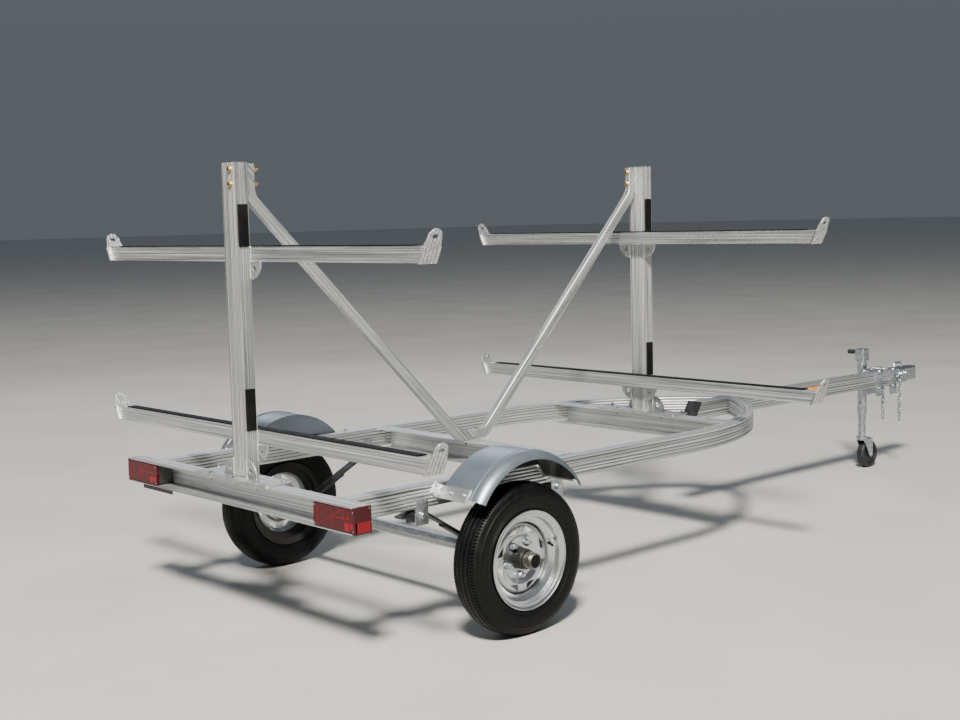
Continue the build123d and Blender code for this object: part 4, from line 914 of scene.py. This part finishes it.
links, hooks = [], []
for sign in SIGNS:
    for number in range(LINK_COUNT):
        middle = (CHAIN_X, sign * CHAIN_Y, FIRST_LINK_Z - number * LINK_PITCH)
        path = loop_path(middle, LEFT if number % 2 else FORWARD, 9, 8)
        links.append(rod(path, WIRE_RADIUS, closed=True))
    middle = (CHAIN_X, sign * CHAIN_Y, HOOK_Z)
    hooks.append(rod(loop_path(middle, FORWARD, 12, 10, 20, 326), WIRE_RADIUS))
    hooks.append(prism(HOOK_GATE, Vector(middle) + Vector((8.4, 0, 0)), LEFT, UP, 1, 0.2))
fit("chain_links", "frame", zinc, links, ["safety_chains"])
fit("chain_snap_hooks", "frame", zinc, hooks, ["chain_hooks"])


# The flat inner wall that closes each fender towards the frame, and its black lining
FENDER_INNER_Y = 606
WALL_RADIUS = 290.4
WALL_FOOT_Z = 546
WALL_SHEET = 2.4
LINING_STEP = 1
reach = acos((WALL_FOOT_Z - FENDER_AXIS_Z) / WALL_RADIUS)
arch = [reach * (1 - 2 * n / 48) for n in range(49)]
wall_outline = [(WALL_RADIUS * sin(turn), WALL_RADIUS * cos(turn)) for turn in arch]
walls, linings = [], []
for sign in SIGNS:
    start = (AXLE_X, sign * (FENDER_INNER_Y + WALL_SHEET), FENDER_AXIS_Z)
    points, faces = prism(sided(wall_outline, sign), start, (-sign, 0, 0), UP, WALL_SHEET)
    walls.append((points, faces))
    linings.append(([point + Vector((0, sign * LINING_STEP, 0)) for point in points], faces))
fit("fender_inner_walls", "frame", fender_coat, walls)
fit("fender_wall_linings", "frame", plastic, linings)


# Tail lamp lenses: a rear face and a side that wraps round the end, with the ribs and
# panels moulded in them. Both lamps have one layout: columns are the first and last place
# from the face's left end as seen from behind, and the first and last height above its foot.
LENS_REAR_X = -2226
LENS_ROOT_X = -2214
LENS_LEFT_Y = {"left": 713, "right": -497}
LENS_LENGTH = 216
LENS_HEIGHT = 74
LENS_MIDDLE_Z = 499.55
LENS_SIDE_Y = 713
LENS_SIDE_ROOT_Y = 701.5
LENS_SIDE_REAR_X = -2224.7
LENS_SIDE_FRONT_X = -2155.4
LENS_SCREW_INSET = 7
RIB_PROUD = 0.9
BRIGHT_RIBS = (
    (164, 166.4, 3, 71), (188.5, 190.5, 8, 66), (106, 188, 41, 43.4),
    (3, 5, 12, 62), (26, 28, 6, 68), (167.5, 187.5, 5, 30),
    (192, 211, 12, 30), (104, 106.4, 8, 66),
)
SLANTING_RIB = ((33, 9), (35, 7.6), (152, 67), (150, 68.4))
DARK_PANELS = ((34, 72, 24, 66), (118, 160, 8, 37), (168, 187, 46, 66))
side_middle_x = (LENS_SIDE_REAR_X + LENS_SIDE_FRONT_X) / 2
side_half = (LENS_SIDE_FRONT_X - LENS_SIDE_REAR_X) / 2
side_face = rectangle(-side_half, side_half, -43, 43)
side_panel = rectangle(4 - side_half, side_half - 6, -38, -4)
lens_slabs, lens_ribs, lens_panels, lens_screws = [], [], [], []
for side, sign in SIDES:
    left_y = LENS_LEFT_Y[side]
    foot_z = LENS_MIDDLE_Z - LENS_HEIGHT / 2

    def rear_patch(outline, start_x, depth, edge):
        """A patch of the rear face that faces backwards."""
        return prism(outline, (start_x, left_y, foot_z), (0, -1, 0), UP, depth, edge)

    rear_face = rectangle(0, LENS_LENGTH, 0, LENS_HEIGHT)
    lens_slabs.append(rear_patch(rear_face, LENS_ROOT_X, LENS_ROOT_X - LENS_REAR_X - RIB_PROUD, 1.6))
    for place in BRIGHT_RIBS:
        lens_ribs.append(rear_patch(rectangle(*place), LENS_REAR_X + 2, 2, 0.5))
    lens_ribs.append(rear_patch(SLANTING_RIB, LENS_REAR_X + 2, 1.9, 0.4))
    for place in DARK_PANELS:
        lens_panels.append(rear_patch(rectangle(*place), LENS_REAR_X + 1.6, 1.2, 0.6))
    for along in (LENS_SCREW_INSET, LENS_LENGTH - LENS_SCREW_INSET):
        for height in (LENS_SCREW_INSET, LENS_HEIGHT - LENS_SCREW_INSET):
            spot = (LENS_REAR_X + 1.5, left_y - along, foot_z + height)
            lens_screws.append(domed_head(spot, (-1, 0, 0), 3.4))
    across = (-sign, 0, 0)
    start = (side_middle_x, sign * LENS_SIDE_ROOT_Y, LENS_MIDDLE_Z)
    depth = LENS_SIDE_Y - LENS_SIDE_ROOT_Y
    lens_slabs.append(prism(side_face, start, across, UP, depth - RIB_PROUD, 1.6))
    lens_ribs.append(prism(sided(side_panel, -sign), start, across, UP, depth, 0.8))
    spot = (side_middle_x + 27, sign * (LENS_SIDE_Y - 1.6), LENS_MIDDLE_Z + 36)
    lens_screws.append(domed_head(spot, (0, sign, 0), 3))
fit("tail_lens_slabs", "frame", red_lens, lens_slabs, ["tail_lamp_lenses"])
# The ribs and the side panel are in the brighter copy of the red lens: painted light
fit("tail_lens_ribs", "frame", lit_red_lens, lens_ribs)
fit("tail_lens_panels", "frame", red_lens, lens_panels)
fit("tail_lens_screws", "frame", zinc, lens_screws)


# Where the bolts are
BASE_PLATE_BOLTS = ((-2200, (150, 0, -140)), (-90, (130, -130)))
PLATE_EDGE_NUTS = ((-2136, 205), (-36, 205), (-2136, -205), (-36, -205))
HANGER_BOLTS = ((-1853, 445.3), (-1213, 448.3))
HANGER_HALF = 30.4
FENDER_BOLT_LEAN = 55.3
FENDER_NUT_RADIUS = 295.8
FENDER_NUT_Y = (656, 722)
BRACKET_BOLT_RADIUS = 313
BRACKET_SHEET = 4.8
SPRING_TOP_Z = 320.7
COUPLER_BOLTS = ((2040, 518), (2084, 518))
COUPLER_FACE_Y = 42.6
JACK_PLATE_BOLTS = ((1814, 550), (1814, 461.8), (1950, 550), (1950, 461.8))
JACK_PLATE_FACE_Y = 44.5
BRACE_FOOT_BOLT_X = (-1122, -1062)
BRACE_FOOT_TOP_Z = 584
BRACE_BOLT_HEIGHTS = (1607, 1557)
# At each mast, a head behind and a nut in front: place along and across, way, kind
BRACE_BOLT_ENDS = (
    (-2174.9, -14.4, -1, "head"), (-2083.8, -13.4, 1, "nut"),
    (-123.1, 19.4, -1, "head"), (-32.1, 20, 1, "nut"),
)
frame_bolts = []
for x, y_places in BASE_PLATE_BOLTS:
    for y in y_places:
        frame_bolts += fastener((x, y, PLATE_TOP), UP, 9.5, "dome")
        frame_bolts += fastener((x, y, FLANGE_UNDER_Z), DOWN, 9.5, "nut")
for x, y in PLATE_EDGE_NUTS:
    frame_bolts += fastener((x, y, PLATE_TOP), UP, 8, "nut")
for x, z in HANGER_BOLTS:
    for sign in SIGNS:
        for way in (-1, 1):
            spot = (x, sign * RAIL_MIDDLE_Y + way * HANGER_HALF, z)
            frame_bolts += fastener(spot, (0, way, 0), 14, "head" if way == sign else "nut")
for sign in SIGNS:
    for way in (-1, 1):
        lean = radians(FENDER_BOLT_LEAN) * way
        radial = Vector((-sin(lean), 0, cos(lean)))
        tangent = Vector((cos(lean), 0, sin(lean)))
        axis = Vector((AXLE_X, 0, FENDER_AXIS_Z))
        for y in FENDER_NUT_Y:
            spot = axis + radial * FENDER_NUT_RADIUS + Vector((0, sign * y, 0))
            frame_bolts += fastener(spot, radial, 7, "nut")
        bracket_face = axis + Vector((0, sign * (RAIL_OUTER_Y + BRACKET_SHEET), 0))
        for along in (-14, 14):
            spot = bracket_face + radial * BRACKET_BOLT_RADIUS + tangent * along
            frame_bolts += fastener(spot, (0, sign, 0), 7, "head")
    frame_bolts += fastener((AXLE_X, sign * RAIL_MIDDLE_Y, SPRING_TOP_Z), UP, 9, "head")
    for x, z in COUPLER_BOLTS:
        spot = (x, sign * COUPLER_FACE_Y, z)
        frame_bolts += fastener(spot, (0, sign, 0), 12, "head" if sign < 0 else "nut")
    for x, z in JACK_PLATE_BOLTS:
        spot = (x, sign * JACK_PLATE_FACE_Y, z)
        frame_bolts += fastener(spot, (0, sign, 0), 9.5, "head" if sign < 0 else "nut")
for x in BRACE_FOOT_BOLT_X:
    frame_bolts += fastener((x, 3, BRACE_FOOT_TOP_Z), UP, 9, "head")
    frame_bolts += fastener((x, 3, FLANGE_UNDER_Z), DOWN, 9, "nut")
brace_bolts = []
for z in BRACE_BOLT_HEIGHTS:
    for x, y, way, kind in BRACE_BOLT_ENDS:
        brace_bolts += fastener((x, y, z), (way, 0, 0), 11, kind)
fit("frame_bolts", "frame", zinc, frame_bolts)
fit("brace_bolts", "frame", gold_zinc, brace_bolts)


# Folded lips down the edges of the jack's two clamp plates
JACK_X = 1882
JACK_Y = 103
CLAMP_APART = 68
CLAMP_HALF_WIDTH = 22.3
CLAMP_LIP = rectangle(-2.5, 2.5, 419, 562)
lips = []
for x in (JACK_X - CLAMP_APART, JACK_X + CLAMP_APART):
    for edge in (-1, 1):
        start = (x + edge * CLAMP_HALF_WIDTH, -JACK_PLATE_FACE_Y, 0)
        lips.append(prism(CLAMP_LIP, start, FORWARD, UP, 9, 1))
fit("jack_clamp_lips", "frame", zinc, lips)

# Rings moulded round the crank's grip, and the screws of the gear case's cover
GRIP_RING = ((0, 12.3), (1.2, 13.4), (4, 13.4), (5.2, 12.3), (0, 12.3))
grip_rings = [turned(GRIP_RING, (1997, 184 + 12 * n, 629.5), LEFT, 24) for n in range(6)]
fit("jack_grip_rings", "jack_tube", plastic, grip_rings)
case_screws = [domed_head((JACK_X + x, JACK_Y + y, 661.4), UP, 3.6) for x in (-20, 20) for y in (-17, 17)]
case_screws += [domed_head((JACK_X - 29.9, JACK_Y + y, 640), (-1, 0, 0), 3.4) for y in (-17, 17)]
fit("jack_case_screws", "jack_tube", zinc, case_screws)

# Low ribs drawn along the sides of the rails, the tongue and the masts
RIB_TOP = 0.7
RIB_ROOT = 0.3
RIB_SLOPE = 0.8
RIB_HALF = 4.9
MAST_RIB_HALF = 3
RAIL_REAR_X = -2148
TONGUE_SPAN_X = (578, 2009)
MAST_SPAN_Z = (PLATE_TOP + 3, 1629)


def rib(path, out_ways, across, half):
    """A low rib along a path; half is half its width at the root, and its top is narrower."""
    foot_half = Vector(across) * half
    top_half = Vector(across) * (half - RIB_SLOPE)
    rows = []
    for point, out in zip(path, out_ways):
        point, out = Vector(point), Vector(out)
        root = point - out * RIB_ROOT
        top = point + out * RIB_TOP
        rows.append([root - foot_half, root + foot_half, top + top_half, top - top_half])
    return skin(rows, True)


rib_heights = [TONGUE_MIDDLE_Z + RIB_PITCH * (n - 2.5) for n in range(6)]
rail_ribs = []
for sign in SIGNS:
    for way in (-1, 1):
        reach = BEND_RADIUS + way * RAIL_HALF
        last = acos((BEND_CENTRE_Y + TONGUE_HALF) / reach) - 0.004
        turns = [last * n / 40 for n in range(41)]
        for z in rib_heights:
            path = [(RAIL_REAR_X, sign * (reach - BEND_CENTRE_Y), z)]
            for t in turns:
                path.append((BEND_START_X + reach * sin(t), sign * (reach * cos(t) - BEND_CENTRE_Y), z))
            ways = [(0, sign * way, 0)] + [(way * sin(t), way * sign * cos(t), 0) for t in turns]
            rail_ribs.append(rib(path, ways, UP, RIB_HALF))
fit("rail_ribs", "frame", tube_bent, rail_ribs, (), 60)

tongue_ribs = []
for sign in SIGNS:
    for z in rib_heights:
        path = [(x, sign * TONGUE_HALF, z) for x in TONGUE_SPAN_X]
        tongue_ribs.append(rib(path, [(0, sign, 0)] * 2, UP, RIB_HALF))
fit("tongue_ribs", "frame", tube_x, tongue_ribs)

mast_ribs = []
for x in MAST_X:
    for way in (-1, 1):
        for n in range(-4, 5):
            path = [(x + way * MAST_DEPTH / 2, MAST_RIB_PITCH * n, z) for z in MAST_SPAN_Z]
            mast_ribs.append(rib(path, [(way, 0, 0)] * 2, LEFT, MAST_RIB_HALF))
        for n in range(-2, 3):
            path = [(x + MAST_RIB_PITCH * n, way * MAST_WIDTH / 2, z) for z in MAST_SPAN_Z]
            mast_ribs.append(rib(path, [(0, way, 0)] * 2, FORWARD, MAST_RIB_HALF))
fit("mast_ribs", "frame", tube_z, mast_ribs)

# Upright ribs down the faces of the side lamps, which scatter the light
SIDE_LAMP_X = 1220
SIDE_LAMP_FACE = TONGUE_HALF + 20
LAMP_RIB = rectangle(-2.2, 2.2, -16, 16)
LAMP_RIB_PITCH = 7
lamp_ribs = []
for sign in SIGNS:
    for n in range(-6, 7):
        start = (SIDE_LAMP_X + LAMP_RIB_PITCH * n, sign * SIDE_LAMP_FACE, TONGUE_MIDDLE_Z)
        lamp_ribs.append(prism(LAMP_RIB, start, (-sign, 0, 0), UP, 1.6, 1.2))
fit("side_lamp_ribs", "frame", amber_lens, lamp_ribs)

# Ribs in the hollow faces of the jack's wheel
CASTER_X = 1932
CASTER_Z = 76
CASTER_DISH_HALF = 12
SPOKE = rectangle(-2, 2, 17.5, 56.5)
spokes = []
for way in (-1, 1):
    start = (CASTER_X, JACK_Y + way * CASTER_DISH_HALF, CASTER_Z)
    for n in range(8):
        out = Vector((cos(n * pi / 4), 0, sin(n * pi / 4)))
        across = Vector((0, way, 0)).cross(out)
        spokes.append(prism(SPOKE, start, across, out, 5))
fit("jack_wheel_ribs", "jack_wheel", plastic, spokes)


# Weld beads along the joints of the frame
GUSSET_HALF = 3.2
GUSSET_BEAD = (3, 61)
CHANNEL_BACK_X = -2150
CHANNEL_DEPTH = 74
CHANNEL_BACKS = (-1147, -125)
WEB_SPAN_Z = (470, 542)
TONGUE_JOINT_X = 571
beads = []


def rail_inside(x):
    """How far from the middle line a side rail's inner face lies at x."""
    past = max(x - BEND_START_X, 0)
    return sqrt((BEND_RADIUS - RAIL_HALF) ** 2 - past**2) - BEND_CENTRE_Y


def lay(start, end, size=4):
    """Lays one bead from start to end."""
    beads.append(bead(start, end, size))


def lay_up(x, y, span, size=4):
    """Lays an upright bead over a span of heights."""
    lay((x, y, span[0]), (x, y, span[1]), size)


for x in MAST_X:
    inward = 1 if x < BRACE_MIDDLE_X else -1
    deep, wide = MAST_DEPTH / 2, MAST_WIDTH / 2
    foot = [(x + along, y, PLATE_TOP) for along, y in rectangle(-deep, deep, -wide, wide)]
    for n in range(4):
        lay(foot[n - 1], foot[n])
    foot_x = x - inward * (deep - GUSSET_HALF)
    joint_x = x + inward * deep
    bar_far_x = joint_x + inward * BAR_SIZE
    bar_edges = [(bar_z - BAR_SIZE / 2, bar_z + BAR_SIZE / 2) for bar_z in BAR_HEIGHTS]
    gusset_places = [(foot_x, PLATE_TOP, 1)] + [(joint_x, low, -1) for low, high in bar_edges]
    for sign in SIGNS:
        mast_y = sign * wide
        for gusset_x, z, way in gusset_places:
            for bead_x in (gusset_x - GUSSET_HALF, gusset_x + GUSSET_HALF):
                lay_up(bead_x, mast_y, [z + way * run for run in GUSSET_BEAD], 3.2)
                ends = [(bead_x, mast_y + sign * run, z) for run in GUSSET_BEAD]
                lay(*ends, 3.2)
        for low, high in bar_edges:
            lay_up(joint_x, mast_y, (low, high), 3.6)
            # Where the leaning end plates meet the bars
            lean_run = BAR_SIZE * tan(radians(END_PLATE_LEAN))
            plate_low = (sign * BAR_HALF_LENGTH, low)
            plate_high = (sign * (BAR_HALF_LENGTH + lean_run), high)
            for edge_x in (joint_x, bar_far_x):
                lay((edge_x, *plate_low), (edge_x, *plate_high), 2.8)
            for corner in (plate_high, plate_low):
                lay((joint_x, *corner), (bar_far_x, *corner), 2.6)
    for edges in bar_edges:
        for edge_z in edges:
            lay((joint_x, -40, edge_z), (joint_x, 40, edge_z), 3.4)

for sign in SIGNS:
    for rail_y in (RAIL_INNER_Y, RAIL_OUTER_Y):
        lay_up(CHANNEL_BACK_X, sign * rail_y, WEB_SPAN_Z)
    ends = [(CHANNEL_BACK_X, sign * y, FRAME_TOP - 1.2) for y in (540, 585)]
    lay(*ends, 3)
    for rear_x in CHANNEL_BACKS:
        web_x = rear_x + CHANNEL_DEPTH
        lay_up(web_x, sign * rail_inside(web_x), WEB_SPAN_Z)
        ends = [(x, sign * rail_inside(x), FRAME_TOP - 0.8) for x in (rear_x + 4, web_x - 4)]
        lay(*ends, 3)
    # Ends of the bent rails against the tongue's sides
    lay_up(TONGUE_JOINT_X, sign * 39.5, WEB_SPAN_Z, 4.5)
    for z in (468.6, 543.4):
        lay((512, sign * 38.8, z), (TONGUE_JOINT_X - 1, sign * 38.8, z))
fit("weld_beads", "frame", weld, beads, (), 50)


# Floor and light
FLOOR_HALF = 200


def lay_floor():
    """A plain pale floor with a slight unevenness of tone."""
    mesh = bpy.data.meshes.new("floor")
    corners = rectangle(-FLOOR_HALF, FLOOR_HALF, -FLOOR_HALF, FLOOR_HALF)
    mesh.from_pydata([(x, y, 0) for x, y in corners], [], [(0, 1, 2, 3)])
    mesh.materials.append(
        patchy("pale_floor_paint", (900, 4), ("#a4a3a0", "#afaeab"), Roughness=0.85)
    )
    put_in_scene("floor", mesh)


def hang_light(name, place, aim, size, watts, colour):
    """A rectangular soft light at place that faces aim."""
    data = bpy.data.lights.new(name, "AREA")
    data.shape = "RECTANGLE"
    data.size, data.size_y = size
    data.energy = watts
    data.color = linear(colour)[:3]
    light = put_in_scene(name, data)
    light.location = place
    light.rotation_euler = (Vector(aim) - Vector(place)).to_track_quat("-Z", "Y").to_euler()


def light_the_room():
    """A nearly white key high behind the camera, a weak cool one over the far side, and a
    room that is dim at the horizon and bright above, so that the metal has something to
    reflect."""
    hang_light("key", (-9.9, -8.8, 13.2), (-0.4, 0, 0.3), (2.4, 2.4), 11000, "#fff8ee")
    hang_light("far", (3, 6, 4.2), (-0.3, 0, 0.4), (5, 3), 110, "#eaf2ff")
    world = bpy.data.worlds.new("room")
    world.use_nodes = True
    bpy.context.scene.world = world
    tree = world.node_tree
    tree.nodes.clear()
    height = split(wire("TexCoord", tree=tree).outputs["Generated"])[2]
    colour = tint(spread(height, 0, 1, 0.12, 0.75), "#8a9299", "#b9c4d0")
    room = wire("Background", None, {"Color": colour, "Strength": 0.42})
    wire("OutputWorld", None, {"Surface": room.outputs["Background"]})


lay_floor()
light_the_room()
